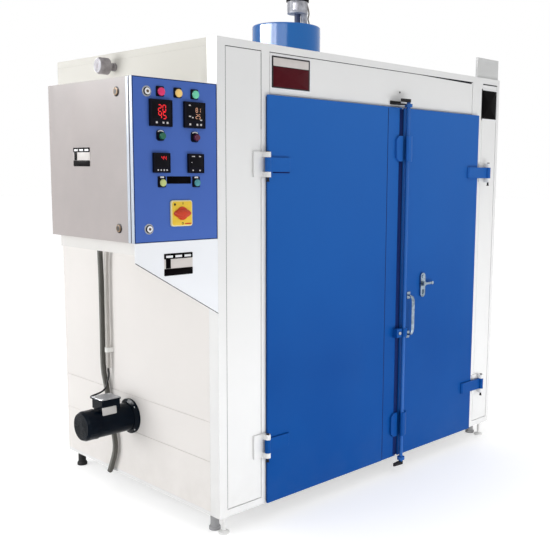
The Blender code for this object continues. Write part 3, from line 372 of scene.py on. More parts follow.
class Tree:
    """A node tree with short calls to add and join nodes."""

    def __init__(self, tree: bpy.types.NodeTree) -> None:
        """Keep the tree.

        Args:
            tree: tree of a material or of a group.
        """
        self.tree = tree

    def feed(self, socket: bpy.types.NodeSocket, value: object) -> None:
        """Join an output to a socket, or set the socket to a plain value.

        Args:
            socket: input socket.
            value: output socket, number or colour.
        """
        if isinstance(value, bpy.types.NodeSocket):
            self.tree.links.new(value, socket)
        else:
            socket.default_value = value

    def node(self, kind: str, inputs: dict | None = None, **settings: object) -> bpy.types.Node:
        """Add a node.

        Args:
            kind: Blender's name of the node type.
            inputs: socket name or number and its value, or the output socket to join to it.
            settings: attributes of the node.

        Returns:
            The new node.
        """
        made = self.tree.nodes.new(kind)
        for name, value in settings.items():
            setattr(made, name, value)
        for name, value in (inputs or {}).items():
            self.feed(made.inputs[name], value)
        return made

    def effect(self, name: str, inputs: dict) -> bpy.types.bpy_prop_collection:
        """The outputs of a shared effect, placed with its own values."""
        return self.node("ShaderNodeGroup", inputs, node_tree=Effects.get(name)).outputs

    def math(self, operation: str, first: object, second: object = 0.5,
             clamp: bool = False) -> bpy.types.NodeSocket:
        """Join two values by a sum, a product or another rule.

        Args:
            operation: Blender's name of the rule.
            first: value or socket.
            second: value or socket.
            clamp: True to keep the result between 0 and 1.

        Returns:
            The socket with the result.
        """
        inputs = {0: first, 1: second}
        return self.node("ShaderNodeMath", inputs, operation=operation, use_clamp=clamp).outputs[0]

    def mix(self, factor: object, first: object, second: object, blend: str = "MIX") -> bpy.types.NodeSocket:
        """Mix two colours.

        Args:
            factor: value or socket from 0 to 1.
            first: colour or socket at 0.
            second: colour or socket at 1.
            blend: Blender's name of the mixing rule.

        Returns:
            The socket with the colour.
        """
        made = self.node("ShaderNodeMix", data_type="RGBA", blend_type=blend)
        for number, value in ((0, factor), (6, first), (7, second)):
            self.feed(made.inputs[number], value)
        return made.outputs[2]

    def ramp(self, value: object, low: float, high: float, start: float = 0.0,
             end: float = 1.0) -> bpy.types.NodeSocket:
        """Map a value from one range to another, held at the ends.

        Args:
            value: socket.
            low: value that becomes start.
            high: value that becomes end.
            start: result at low.
            end: result at high.

        Returns:
            The socket with the result.
        """
        return self.node("ShaderNodeMapRange", {0: value, 1: low, 2: high, 3: start, 4: end}).outputs[0]

    def place(self) -> bpy.types.NodeSocket:
        """The place on the object, in its own coordinates."""
        return self.node("ShaderNodeTexCoord").outputs["Object"]

    def axis(self, vector: bpy.types.NodeSocket, name: str) -> bpy.types.NodeSocket:
        """The X, Y or Z part of a vector."""
        return self.node("ShaderNodeSeparateXYZ", {0: vector}).outputs[name]

    def noise(self, vector: bpy.types.NodeSocket, scale: object, detail: float,
              roughness: float = 0.5) -> bpy.types.NodeSocket:
        """Soft noise between 0 and 1.

        Args:
            vector: coordinates.
            scale: value or socket; larger is finer.
            detail: number of finer layers.
            roughness: share of the finer layers.

        Returns:
            The socket with the noise.
        """
        inputs = {"Vector": vector, "Scale": scale, "Detail": detail, "Roughness": roughness}
        return self.node("ShaderNodeTexNoise", inputs).outputs[0]

    def bump(self, height: bpy.types.NodeSocket, strength: float, distance: float,
             under: bpy.types.NodeSocket | None = None) -> bpy.types.NodeSocket:
        """Normal of a surface that a height raises.

        Args:
            height: socket with the height.
            strength: share of the effect.
            distance: height in metres where the socket is 1.
            under: normal of a bump below this one.

        Returns:
            The socket with the normal.
        """
        inputs = {"Height": height, "Strength": strength, "Distance": distance}
        if under is not None:
            inputs["Normal"] = under
        return self.node("ShaderNodeBump", inputs).outputs[0]


FLOAT = "NodeSocketFloat"
COLOUR = "NodeSocketColor"
VECTOR = "NodeSocketVector"


def new_group(name: str, inputs: list[tuple[str, str, object]], outputs: list[tuple[str, str]]) -> tuple:
    """Start a shader node group with named sockets.

    Args:
        name: name of the group.
        inputs: (name, socket type, value) of each input.
        outputs: (name, socket type) of each output.

    Returns:
        The group, a Tree on it, the sockets that it is given and the sockets of its result.
    """
    group = bpy.data.node_groups.new(name, "ShaderNodeTree")
    for title, kind, value in inputs:
        group.interface.new_socket(title, in_out="INPUT", socket_type=kind).default_value = value
    for title, kind in outputs:
        group.interface.new_socket(title, in_out="OUTPUT", socket_type=kind)
    given = group.nodes.new("NodeGroupInput").outputs
    return group, Tree(group), given, group.nodes.new("NodeGroupOutput").inputs


class Effects:
    """Shader node groups that several finishes share, each built once."""

    made: dict[str, bpy.types.NodeTree] = {}

    @classmethod
    def get(cls, name: str) -> bpy.types.NodeTree:
        """The group of that name, built when it is first asked for."""
        if name not in cls.made:
            cls.made[name] = getattr(cls, name)()
        return cls.made[name]

    @staticmethod
    def patchy_coat() -> bpy.types.NodeTree:
        """Colour that drifts between two near tones, with fine orange peel as a height."""
        group, tree, given, result = new_group(
            "patchy_coat",
            [("Base", COLOUR, (0.8, 0.8, 0.8, 1)), ("Shade", COLOUR, (0.7, 0.7, 0.7, 1)),
             ("Patch Scale", FLOAT, 2.5), ("Patch Amount", FLOAT, 0.5), ("Peel Scale", FLOAT, 700.0)],
            [("Color", COLOUR), ("Peel", FLOAT)])
        place = tree.place()
        patch = tree.noise(place, given["Patch Scale"], 4.0, 0.55)
        amount = tree.math("MULTIPLY", tree.ramp(patch, 0.35, 0.7), given["Patch Amount"])
        tree.feed(result["Color"], tree.mix(amount, given["Base"], given["Shade"]))
        tree.feed(result["Peel"], tree.noise(place, given["Peel Scale"], 2.0))
        return group

    @staticmethod
    def worn_edges() -> bpy.types.NodeTree:
        """Mask of edges whose coat is rubbed: the rounded normal leans away from the face's own."""
        group, tree, given, result = new_group(
            "worn_edges", [("Width", FLOAT, 0.003), ("Amount", FLOAT, 0.5), ("Break Scale", FLOAT, 60.0)],
            [("Mask", FLOAT)])
        rounded = tree.node("ShaderNodeBevel", {"Radius": given["Width"]}, samples=4).outputs[0]
        own = tree.node("ShaderNodeNewGeometry").outputs["Normal"]
        lean = tree.node("ShaderNodeVectorMath", {0: rounded, 1: own}, operation="DOT_PRODUCT")
        edge = tree.ramp(lean.outputs["Value"], 0.97, 0.78)
        broken = tree.ramp(tree.noise(tree.place(), given["Break Scale"], 5.0, 0.7), 0.42, 0.62)
        both = tree.math("MULTIPLY", edge, broken)
        tree.feed(result["Mask"], tree.math("MULTIPLY", both, given["Amount"], clamp=True))
        return group

    @staticmethod
    def settled_dust() -> bpy.types.NodeTree:
        """Mask of dust: on faces that look up, and near the floor where dirt is splashed."""
        group, tree, given, result = new_group(
            "settled_dust", [("Splash Height", FLOAT, 0.35), ("Amount", FLOAT, 0.4)], [("Mask", FLOAT)])
        place = tree.place()
        normal = tree.node("ShaderNodeNewGeometry").outputs["Normal"]
        upward = tree.ramp(tree.axis(normal, "Z"), 0.4, 0.95, 0.0, 0.6)
        height = tree.math("DIVIDE", tree.axis(place, "Z"), given["Splash Height"])
        low = tree.ramp(height, 0.1, 1.0, 0.8, 0.0)
        spread = tree.ramp(tree.noise(place, 9.0, 7.0, 0.65), 0.35, 0.75)
        both = tree.math("MULTIPLY", tree.math("MAXIMUM", upward, low), spread)
        tree.feed(result["Mask"], tree.math("MULTIPLY", both, given["Amount"], clamp=True))
        return group

    @staticmethod
    def wiped_gloss() -> bpy.types.NodeTree:
        """Roughness with long faint wipe marks: noise stretched upwards, between two values."""
        group, tree, given, result = new_group(
            "wiped_gloss", [("Low", FLOAT, 0.25), ("High", FLOAT, 0.4), ("Scale", FLOAT, 3.0)],
            [("Roughness", FLOAT)])
        stretched = tree.node("ShaderNodeMapping", {"Vector": tree.place(), "Scale": (3.0, 3.0, 0.5)})
        share = tree.ramp(tree.noise(stretched.outputs[0], given["Scale"], 6.0, 0.6), 0.3, 0.7)
        spread = tree.math("SUBTRACT", given["High"], given["Low"])
        tree.feed(result["Roughness"], tree.math("ADD", given["Low"], tree.math("MULTIPLY", share, spread)))
        return group

    @staticmethod
    def metal_marks() -> bpy.types.NodeTree:
        """Fine scratches and stains of bare metal, and on chrome painted dark reflection: a tone to multiply
        by, and a height.
        """
        group, tree, given, result = new_group(
            "metal_marks",
            [("Stretch", VECTOR, (1.0, 1.0, 1.0)), ("Scale", FLOAT, 200.0), ("Amount", FLOAT, 0.3)],
            [("Tone", FLOAT), ("Height", FLOAT)])
        place = tree.place()
        drawn = tree.node("ShaderNodeVectorMath", {0: place, 1: given["Stretch"]}, operation="MULTIPLY")
        fine = tree.noise(drawn.outputs[0], given["Scale"], 3.0)
        stain = tree.noise(place, 18.0, 5.0)
        both = tree.math("ADD", tree.ramp(fine, 0.35, 0.7), tree.ramp(stain, 0.45, 0.75))
        mark = tree.math("MULTIPLY", both, 0.5)
        tree.feed(result["Tone"], tree.math("SUBTRACT", 1.0, tree.math("MULTIPLY", mark, given["Amount"])))
        tree.feed(result["Height"], fine)
        return group


# Finishes

def rgba(colour: Colour) -> tuple[float, float, float, float]:
    """A colour with full alpha."""
    return (*colour, 1.0)


@dataclass(frozen=True)
class Finish:
    """A finish with a name; each kind builds its own material once."""

    name: str

    def material(self) -> bpy.types.Material:
        """The finish's material, built when it is first asked for.

        Returns:
            The material of the finish's name.
        """
        found = bpy.data.materials.get(self.name)
        if found:
            return found
        made = bpy.data.materials.new(self.name)
        made.use_nodes = True
        self.build(Tree(made.node_tree), made.node_tree.nodes["Principled BSDF"].inputs)
        return made

    def build(self, tree: Tree, shader: bpy.types.bpy_prop_collection) -> None:
        """Join the finish's nodes to the shader.

        Args:
            tree: the material's tree.
            shader: the sockets of its Principled shader.
        """
        raise NotImplementedError


@dataclass(frozen=True)
class Enamel(Finish):
    """Sprayed paint on sheet steel: drifting tone, orange peel, wipe marks, rubbed edges and dust.

    Where a height tone is given, the colour goes over to it between two heights: painted light and shade by
    height. Where tip is given, what lies further left than it is dark.
    """

    base: Colour
    shade: Colour
    rubbed: Colour = (0.35, 0.35, 0.36)
    dust: Colour = (0.45, 0.42, 0.38)
    gloss: tuple[float, float] = (0.28, 0.42)
    coat: float = 0.25
    coat_roughness: float = 0.12
    patch_scale: float = 2.2
    patch_amount: float = 0.5
    peel: float = 0.04
    peel_depth: float = 0.0004
    edge_width: float = 0.003
    edge_amount: float = 0.5
    dust_amount: float = 0.35
    dust_roughness: float = 0.4
    splash: float = 0.35
    specular: float = 0.5
    # Tone and heights of painted light and shade by height.
    height_shading: Colour | None = None
    height_shading_span: tuple[float, float] = (0.15, 1.85)
    tip: float | None = None
    tip_blend: float = 0.0006
    tip_tone: Colour = (0.03, 0.024, 0.018)

    def build(self, tree: Tree, shader: bpy.types.bpy_prop_collection) -> None:
        """Join the paint's nodes to the shader.

        Args:
            tree: the material's tree.
            shader: the sockets of its Principled shader.
        """
        coat = tree.effect("patchy_coat", {"Base": rgba(self.base), "Shade": rgba(self.shade),
                                           "Patch Scale": self.patch_scale,
                                           "Patch Amount": self.patch_amount})
        edges = tree.effect("worn_edges", {"Width": self.edge_width, "Amount": self.edge_amount})["Mask"]
        dust = tree.effect("settled_dust", {"Splash Height": self.splash, "Amount": self.dust_amount})["Mask"]
        gloss = tree.effect("wiped_gloss", {"Low": self.gloss[0], "High": self.gloss[1]})["Roughness"]
        colour = coat["Color"]
        # Painted light and shade: the colour goes over to another tone with height.
        if self.height_shading:
            height = tree.axis(tree.place(), "Z")
            colour = tree.mix(tree.ramp(height, *self.height_shading_span), colour, rgba(self.height_shading))
        colour = tree.mix(edges, colour, rgba(self.rubbed))
        colour = tree.mix(dust, colour, rgba(self.dust))
        if self.tip is not None:
            outer = tree.ramp(tree.axis(tree.place(), "X"), self.tip, self.tip + self.tip_blend, 1.0, 0.0)
            colour = tree.mix(outer, colour, rgba(self.tip_tone))
        tree.feed(shader["Base Color"], colour)
        dulled = tree.math("MULTIPLY", dust, self.dust_roughness)
        tree.feed(shader["Roughness"], tree.math("ADD", gloss, dulled, clamp=True))
        tree.feed(shader["Normal"], tree.bump(coat["Peel"], self.peel, self.peel_depth))
        shader["Coat Weight"].default_value = self.coat
        shader["Coat Roughness"].default_value = self.coat_roughness
        shader["Specular IOR Level"].default_value = self.specular


@dataclass(frozen=True)
class Metal(Finish):
    """Bare or plated metal with fine marks."""

    base: Colour
    roughness: float = 0.25
    spread: float = 0.15
    stretch: tuple[float, float, float] = (1.0, 1.0, 1.0)
    scale: float = 220.0
    marks: float = 0.3
    bump: float = 0.05
    bump_depth: float = 0.0003
    metallic: float = 1.0
    specular: float = 0.5

    def build(self, tree: Tree, shader: bpy.types.bpy_prop_collection) -> None:
        """Join the metal's nodes to the shader.

        Args:
            tree: the material's tree.
            shader: the sockets of its Principled shader.
        """
        given = {"Stretch": self.stretch, "Scale": self.scale, "Amount": self.marks}
        marks = tree.effect("metal_marks", given)
        tree.feed(shader["Base Color"], tree.mix(1.0, rgba(self.base), marks["Tone"], blend="MULTIPLY"))
        uneven = tree.math("MULTIPLY", marks["Height"], self.spread)
        tree.feed(shader["Roughness"], tree.math("ADD", self.roughness, uneven))
        tree.feed(shader["Normal"], tree.bump(marks["Height"], self.bump, self.bump_depth))
        shader["Metallic"].default_value = self.metallic
        shader["Specular IOR Level"].default_value = self.specular


@dataclass(frozen=True)
class Plastic(Finish):
    """Moulded plastic or rubber: fine grain, slight tone drift, and a little glow where it is lit."""

    base: Colour
    shade: Colour
    roughness: tuple[float, float] = (0.3, 0.42)
    grain: float = 0.08
    grain_depth: float = 0.0003
    grain_scale: float = 1200.0
    patch_scale: float = 30.0
    patch_amount: float = 0.5
    wipe_scale: float = 25.0
    glow: float = 0.0
    specular: float = 0.5
    ribs: float = 0.0
    rib_pitch: float = 0.006
    rib_depth: float = 0.0012

    def build(self, tree: Tree, shader: bpy.types.bpy_prop_collection) -> None:
        """Join the plastic's nodes to the shader.

        Args:
            tree: the material's tree.
            shader: the sockets of its Principled shader.
        """
        coat = tree.effect("patchy_coat", {"Base": rgba(self.base), "Shade": rgba(self.shade),
                                           "Patch Scale": self.patch_scale, "Patch Amount": self.patch_amount,
                                           "Peel Scale": self.grain_scale})
        tree.feed(shader["Base Color"], coat["Color"])
        gloss = tree.effect("wiped_gloss", {"Low": self.roughness[0], "High": self.roughness[1],
                                            "Scale": self.wipe_scale})
        tree.feed(shader["Roughness"], gloss["Roughness"])
        normal = tree.bump(coat["Peel"], self.grain, self.grain_depth)
        if self.ribs:
            turns = tree.math("MULTIPLY", tree.axis(tree.place(), "Z"), 2 * math.pi / self.rib_pitch)
            normal = tree.bump(tree.math("SINE", turns), self.ribs, self.rib_depth, normal)
        tree.feed(shader["Normal"], normal)
        shader["Specular IOR Level"].default_value = self.specular
        if self.glow:
            tree.feed(shader["Emission Color"], coat["Color"])
            shader["Emission Strength"].default_value = self.glow


WHITE = Enamel("cabinet_white_enamel", (0.83, 0.83, 0.825), (0.77, 0.775, 0.775), patch_amount=0.4,
               edge_amount=0.3, specular=0.35, dust_amount=0.25)
# The wall's colour turns darker towards its top as painted shade.
WALL_WHITE = Enamel("side_wall_white_enamel", (0.86, 0.83, 0.805), (0.81, 0.785, 0.765), patch_amount=0.5,
                    coat=0.0, height_shading=(0.84, 0.825, 0.77), height_shading_span=(1.0, 1.9), edge_amount=0.3, specular=0.0,
                    dust_amount=0.3)
BOX_WHITE = Enamel("control_box_white_enamel", (0.75, 0.735, 0.71), (0.69, 0.675, 0.65), edge_amount=0.3,
                   specular=0.35, dust_amount=0.25)
CORNER_GREY = Enamel("corner_plate_grey_enamel", (0.62, 0.625, 0.62), (0.57, 0.575, 0.57), edge_amount=0.4,
                     specular=0.3)
# The doors are painted lighter towards the top and darker below: painted light and shade.
BLUE = Enamel("door_blue_enamel", (0.0012, 0.060, 0.275), (0.003, 0.072, 0.305), rubbed=(0.05, 0.13, 0.34),
              gloss=(0.32, 0.44), coat=0.0, patch_scale=1.8, patch_amount=0.9, dust_amount=0.03,
              specular=0.08, height_shading=(0.022, 0.135, 0.48), height_shading_span=(0.6, 1.95))
PANEL_BLUE = Enamel("control_door_blue_enamel", (0.062, 0.138, 0.47), (0.075, 0.160, 0.52),
                    rubbed=(0.16, 0.24, 0.42), gloss=(0.3, 0.42), coat=0.0, dust_amount=0.03, specular=0.16)
DRUM_BLUE = Enamel("drum_blue_enamel", (0.005, 0.160, 0.56), (0.010, 0.180, 0.60), rubbed=(0.1, 0.18, 0.32),
                   gloss=(0.10, 0.18), coat=0.4, dust_amount=0.02, specular=0.12)
SIDE_GREY = Enamel("side_door_grey_enamel", (0.455, 0.41, 0.40), (0.385, 0.35, 0.345), patch_scale=3.2,
                   coat=0.05, patch_amount=0.8, edge_amount=0.25, dust_amount=0.10, specular=0.2,
                   tip=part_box("side_door_panel")[0].x + 0.003)
MOTOR_PAINT = Enamel("motor_dark_enamel", (0.0006, 0.0026, 0.0070), (0.0010, 0.0060, 0.0130),
                     rubbed=(0.02, 0.03, 0.045), gloss=(0.16, 0.28), coat=0.0, edge_amount=0.4,
                     dust_amount=0.01, splash=0.3, patch_scale=14.0, specular=0.07)
ROOF_MOTOR = Enamel("roof_motor_dark_enamel", (0.005, 0.005, 0.007), (0.010, 0.010, 0.013),
                    rubbed=(0.06, 0.06, 0.07), gloss=(0.3, 0.5), coat=0.0, edge_amount=0.4,
                    dust_amount=0.03, patch_scale=14.0, specular=0.1)
GALVANISED = Metal("inner_galvanised_sheet", (0.58, 0.59, 0.6), 0.35, 0.2, scale=60.0, marks=0.35)
# Chrome: its dark bluish base is a painted reflection of the surroundings, and its strong marks are both real
# marks and painted dark reflection.
CHROME = Metal("polished_chrome", (0.38, 0.47, 0.56), 0.08, 0.12, scale=60.0, marks=0.8, bump=0.08)
ZINC = Metal("zinc_plated_steel", (0.55, 0.55, 0.54), 0.3, 0.2, marks=0.45)
DARK_STEEL = Metal("dark_pin_steel", (0.022, 0.020, 0.022), 0.35, 0.2, marks=0.4, metallic=0.4,
                   specular=0.15)
STOOL_GREY = Enamel("stool_pale_grey", (0.74, 0.74, 0.76), (0.30, 0.30, 0.33), rubbed=(0.85, 0.85, 0.86),
                    coat=0.0, gloss=(0.3, 0.4), patch_scale=36.0, patch_amount=0.9, dust_amount=0.02,
                    specular=0.05)
# Painted shade on the stool's neck under its body.
NECK_SHADE = Enamel("neck_blue_grey", (0.10, 0.12, 0.20), (0.06, 0.07, 0.13), rubbed=(0.4, 0.42, 0.5),
                    coat=0.0, gloss=(0.4, 0.5), patch_scale=40.0, dust_amount=0.02, specular=0.05)
SENSOR_GREY = Enamel("sensor_grey_enamel", (0.40, 0.375, 0.385), (0.24, 0.22, 0.23),
                     rubbed=(0.62, 0.60, 0.61), coat=0.0, gloss=(0.4, 0.5), patch_scale=40.0,
                     patch_amount=0.9, dust_amount=0.05, specular=0.05)
STOOL_SILVER = Metal("stool_silver", (0.72, 0.72, 0.74), 0.22, 0.16, scale=300.0, marks=0.3, bump=0.1)
LOCK_GREY = Metal("lock_rim_grey", (0.42, 0.43, 0.45), 0.3, 0.2, marks=0.35, metallic=0.8)
BRONZE = Metal("dark_bronze", (0.16, 0.11, 0.07), 0.3, 0.2, scale=300.0, marks=0.4)
PLATE_METAL = Metal("bare_plate_metal", (0.6, 0.6, 0.6), 0.35, 0.15, stretch=(1.0, 1.0, 12.0), marks=0.25)
GASKET = Plastic("seal_rubber", (0.018, 0.018, 0.019), (0.03, 0.03, 0.03), (0.6, 0.8), 0.2, specular=0.2)
CABLE = Plastic("cable_rubber", (0.010, 0.010, 0.011), (0.016, 0.016, 0.017), (0.45, 0.6), 0.1,
                specular=0.25)
# Also drawn as the black strip of painted shadow in the gap above the top panel.
BLACK = Plastic("black_plastic_and_gap_shadow", (0.0028, 0.0028, 0.0075), (0.005, 0.005, 0.012), (0.3, 0.42),
                specular=0.08)
SCREEN = Plastic("display_window", (0.0022, 0.0020, 0.0045), (0.004, 0.004, 0.007), (0.12, 0.2), 0.0,
                 specular=0.08)
# Dark lines of painted shadow in the panel joints and along the gusset's lower edge.
GAP_DARK = Plastic("painted_joint_shadow", (0.045, 0.045, 0.05), (0.08, 0.08, 0.085), (0.5, 0.7),
                   specular=0.1)
YELLOW = Plastic("switch_yellow_plastic", (0.82, 0.56, 0.045), (0.78, 0.50, 0.035), (0.3, 0.42),
                 specular=0.35)
RED = Plastic("knob_red_plastic", (0.60, 0.050, 0.015), (0.52, 0.038, 0.012), (0.25, 0.38), specular=0.3)
RIM_CREAM = Plastic("switch_cream_rim", (0.84, 0.76, 0.42), (0.80, 0.70, 0.36), (0.3, 0.42), specular=0.3)
MARK_DARK = Plastic("dark_print", (0.05, 0.04, 0.012), (0.07, 0.055, 0.02), (0.4, 0.55), 0.0, specular=0.2)
CONDUIT_GREY = Plastic("conduit_grey_plastic", (0.115, 0.112, 0.098), (0.15, 0.145, 0.13), (0.4, 0.6),
                       specular=0.2, ribs=0.9)
LEAD_GREY = Plastic("lead_grey_plastic", (0.46, 0.44, 0.41), (0.52, 0.50, 0.47), (0.4, 0.6), specular=0.25,
                    ribs=0.5)
CLIP_WHITE = Plastic("clip_white_plastic", (0.82, 0.82, 0.79), (0.76, 0.76, 0.73), (0.35, 0.5))
LENS_RED = Plastic("lamp_red_lens", (0.66, 0.016, 0.12), (0.72, 0.03, 0.16), (0.14, 0.22), 0.03, glow=0.10,
                   specular=0.4)
LENS_AMBER = Plastic("lamp_amber_lens", (0.86, 0.56, 0.16), (0.88, 0.64, 0.26), (0.14, 0.22), 0.03,
                     glow=0.12, specular=0.4)
LENS_GREEN = Plastic("lamp_green_lens", (0.13, 0.58, 0.36), (0.18, 0.64, 0.42), (0.14, 0.22), 0.03,
                     glow=0.10, specular=0.4)
LENS_LIME = Plastic("lamp_lime_lens", (0.48, 0.55, 0.18), (0.56, 0.62, 0.26), (0.15, 0.22), 0.03, glow=0.08,
                    specular=0.4)
LENS_TEAL = Plastic("lamp_teal_lens", (0.055, 0.26, 0.30), (0.07, 0.32, 0.36), (0.15, 0.22), 0.03,
                    glow=0.06, specular=0.4)
CAP_GREEN = Plastic("button_green_cap", (0.010, 0.12, 0.065), (0.02, 0.20, 0.11), (0.2, 0.3), specular=0.4)
CAP_RED = Plastic("button_red_cap", (0.075, 0.006, 0.030), (0.11, 0.010, 0.045), (0.2, 0.3), specular=0.4)
DIGIT_RED = Plastic("display_red_digits", (0.90, 0.03, 0.04), (0.85, 0.03, 0.03), (0.4, 0.5), 0.0,
                    glow=0.35, specular=0.1)
DIGIT_AMBER = Plastic("display_amber_digits", (0.62, 0.33, 0.22), (0.58, 0.30, 0.18), (0.4, 0.5), 0.0,
                      glow=0.25, specular=0.1)
LEGEND = Plastic("pale_key_print", (0.62, 0.60, 0.60), (0.55, 0.53, 0.53), (0.4, 0.5), 0.0)
TAB_WHITE = Plastic("white_label_tab", (0.84, 0.84, 0.86), (0.78, 0.78, 0.80), (0.35, 0.5), 0.0)
SIGN_RED = Plastic("sign_maroon", (0.070, 0.0050, 0.0095), (0.09, 0.009, 0.014), (0.4, 0.55), specular=0.06)
SIGN_HEADER = Plastic("sign_pale_header", (0.66, 0.62, 0.60), (0.60, 0.56, 0.54), (0.4, 0.55), specular=0.3)
SIGN_DARK = Plastic("plate_near_black", (0.0020, 0.0014, 0.0018), (0.005, 0.004, 0.005), (0.35, 0.5),
                    specular=0.02)
SIGN_GREY = Plastic("sign_frame_grey", (0.035, 0.033, 0.036), (0.05, 0.046, 0.05), (0.4, 0.55),
                    specular=0.1)
GUSSET_WHITE = Enamel("gusset_white_enamel", (0.87, 0.89, 0.925), (0.84, 0.86, 0.90), edge_amount=0.3,
                      specular=0.35, dust_amount=0.1)
ROD_BLUE = Enamel("rod_blue_enamel", (0.010, 0.105, 0.40), (0.016, 0.12, 0.43), rubbed=(0.2, 0.32, 0.5),
                  gloss=(0.16, 0.26), coat=0.12, dust_amount=0.03, specular=0.2)
# Dark line of painted shade round the blue door's edge.
EDGE_BLUE = Plastic("door_edge_shade", (0.010, 0.030, 0.115), (0.014, 0.038, 0.14), (0.45, 0.6),
                    specular=0.1)
EDGE_PALE = Plastic("folded_edge_pale", (0.56, 0.62, 0.71), (0.60, 0.66, 0.74), (0.35, 0.5), specular=0.3)
# Dark navy of painted shadow where the doors meet and along the hinge strap.
SHADE_BLUE = Plastic("painted_blue_shadow", (0.004, 0.016, 0.095), (0.006, 0.022, 0.12), (0.45, 0.6),
                     specular=0.1)
FOOT_GREY = Plastic("foot_grey_plastic", (0.34, 0.34, 0.35), (0.42, 0.42, 0.43), (0.5, 0.7), specular=0.2)
FOOT_BLACK = Plastic("foot_black_rubber", (0.012, 0.012, 0.013), (0.022, 0.022, 0.022), (0.5, 0.7),
                     specular=0.2)
# The lid top's pale tone is a painted reflection.
LID_PALE = Metal("lid_top_painted_reflection", (0.46, 0.47, 0.50), 0.25, 0.2, marks=0.5, metallic=0.6, specular=0.3)
GRILLE_GREY = Plastic("grille_dark_grey", (0.010, 0.012, 0.015), (0.016, 0.018, 0.022), (0.35, 0.5),
                      specular=0.12)
STOOL_SHADE = Metal("stool_shaded_window", (0.22, 0.22, 0.24), 0.35, 0.2, marks=0.4)
LEAD_BROWN = Plastic("lead_brown_sheath", (0.13, 0.10, 0.075), (0.17, 0.13, 0.10), (0.45, 0.6),
                     specular=0.3)


# Boxes of the frame's nodes

@dataclass(frozen=True)
class Box:
    """The room that a CAD node takes up."""

    low: Vector
    high: Vector

    @classmethod
    def of(cls, node: str) -> "Box":
        """The box of a node of the frame."""
        return cls(*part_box(node))

    @property
    def middle(self) -> Vector:
        """Its middle."""
        return (self.low + self.high) / 2

    @property
    def size(self) -> Vector:
        """Its sizes along X, Y and Z."""
        return self.high - self.low

    def side(self, facing: Facing, sign: int = 1) -> Spot:
        """Middle of the side that looks a given way.

        Args:
            facing: which way the side looks, and the spot too.
            sign: -1 for the place on the opposite side, where a piece that looks this way has its foot.

        Returns:
            The spot.
        """
        out = sign * np.array(facing.value[2])
        return facing.at(*np.where(out > 0, self.high, np.where(out < 0, self.low, self.middle)))


# Shapes that several parts share

def eased(root: float, shoulder: float, bevel: float, top: float) -> Profile:
    """Edge of a plate: straight from root to shoulder, then drawn in by a bevel up to the top."""
    return [(0.0, root), (0.0, shoulder), (bevel, top)]


SHEET_EDGE = eased(-0.0003, 0.0008, 0.0003, 0.0010)
SHADOW_STRIP_EDGE = eased(-0.0003, 0.0006, 0.0003, 0.0008)
LINE_EDGE = eased(-0.0003, 0.0005, 0.0003, 0.0007)
JOINT_EDGE = eased(-0.0003, 0.0002, 0.0001, 0.0003)
GAP_EDGE = eased(-0.0003, 0.0004, 0.0001, 0.0005)
RIGHT_SHADOW_EDGE = eased(0.0, 0.0010, 0.0003, 0.0012)
PRINT_EDGE = eased(-0.0003, 0.0009, 0.0002, 0.0010)
HOLDER_EDGE = eased(-0.0005, 0.0020, 0.0008, 0.0028)
WINDOW_EDGE = eased(-0.001, 0.0004, 0.0006, 0.0007)
KEY_EDGE = eased(-0.001, 0.0006, 0.0005, 0.001)
FIELD_EDGE = eased(-0.0004, 0.0004, 0.0004, 0.0006)
SPOKE_EDGE = eased(-0.0004, 0.0010, 0.0003, 0.0012)
NAME_PLATE_EDGE = eased(-0.0012, 0.0004, 0.0004, 0.0008)
LID_EDGE = eased(-0.0065, -0.0015, 0.0015, 0.0004)
LID_RIM_EDGE = eased(-0.0085, -0.0030, 0.0008, -0.0022)
BOX_SEAT_EDGE = eased(-0.024, 0.001, 0.001, 0.002)
LOCK_BAR_EDGE = eased(0.005, 0.0066, 0.0004, 0.0069)


def ring(spot: Spot, profile: Profile, steps: int = 32) -> Skin:
    """Closed ring: a profile that comes back to its first point, turned round the spot's out direction."""
    return revolve(spot, profile + profile[:1], steps)


def band(spot: Spot, radii: tuple[float, float], levels: tuple[float, float], steps: int = 32) -> Skin:
    """Closed ring with a square cross-section.

    Args:
        spot: centre of the ring.
        radii: inner and outer radius.
        levels: lowest and highest distance out.
        steps: number of columns round the axis.

    Returns:
        The skin of the ring.
    """
    (inner, outer), (low, high) = radii, levels
    return ring(spot, [(inner, low), (outer, low), (outer, high), (inner, high)], steps)


def dome(radius: float, level: float, rise: float, start: float, steps: int) -> Profile:
    """Profile of a dome: (radius * cos a, level + rise * sin a), with a from start to a quarter turn.

    Args:
        radius: radius at its foot.
        level: height of its foot.
        rise: how far it rises above the foot.
        start: first angle in radians.
        steps: number of points.

    Returns:
        The points of the profile.
    """
    angle = np.linspace(start, math.pi / 2, steps)
    return np.stack((radius * np.cos(angle), level + rise * np.sin(angle)), axis=-1).tolist()


def screw(spot: Spot, radius: float) -> Skin:
    """Low round screw head.

    Args:
        spot: middle of its seat.
        radius: its radius.

    Returns:
        The skin of the head.
    """
    rim = 0.0006
    foot = [(0, -0.0005), (radius, -0.0005), (radius, rim)]
    return revolve(spot, foot + dome(radius, rim, radius * 0.35, 0.3, 5), 16)


def hex_head(spot: Spot, radius: float, height: float) -> Skin:
    """Six-sided bolt head with a chamfered crown.

    Args:
        spot: middle of its seat.
        radius: distance of its corners from the middle.
        height: its height.

    Returns:
        The skin of the head.
    """
    angle = np.linspace(0, 2 * math.pi, 6, endpoint=False)
    outline = radius * np.stack((np.cos(angle), np.sin(angle)), axis=-1)
    return stacked(spot, outline, [(0, 0), (1, 0), (1, height * 0.8), (0.88, height), (0, height)])


# Cabinet

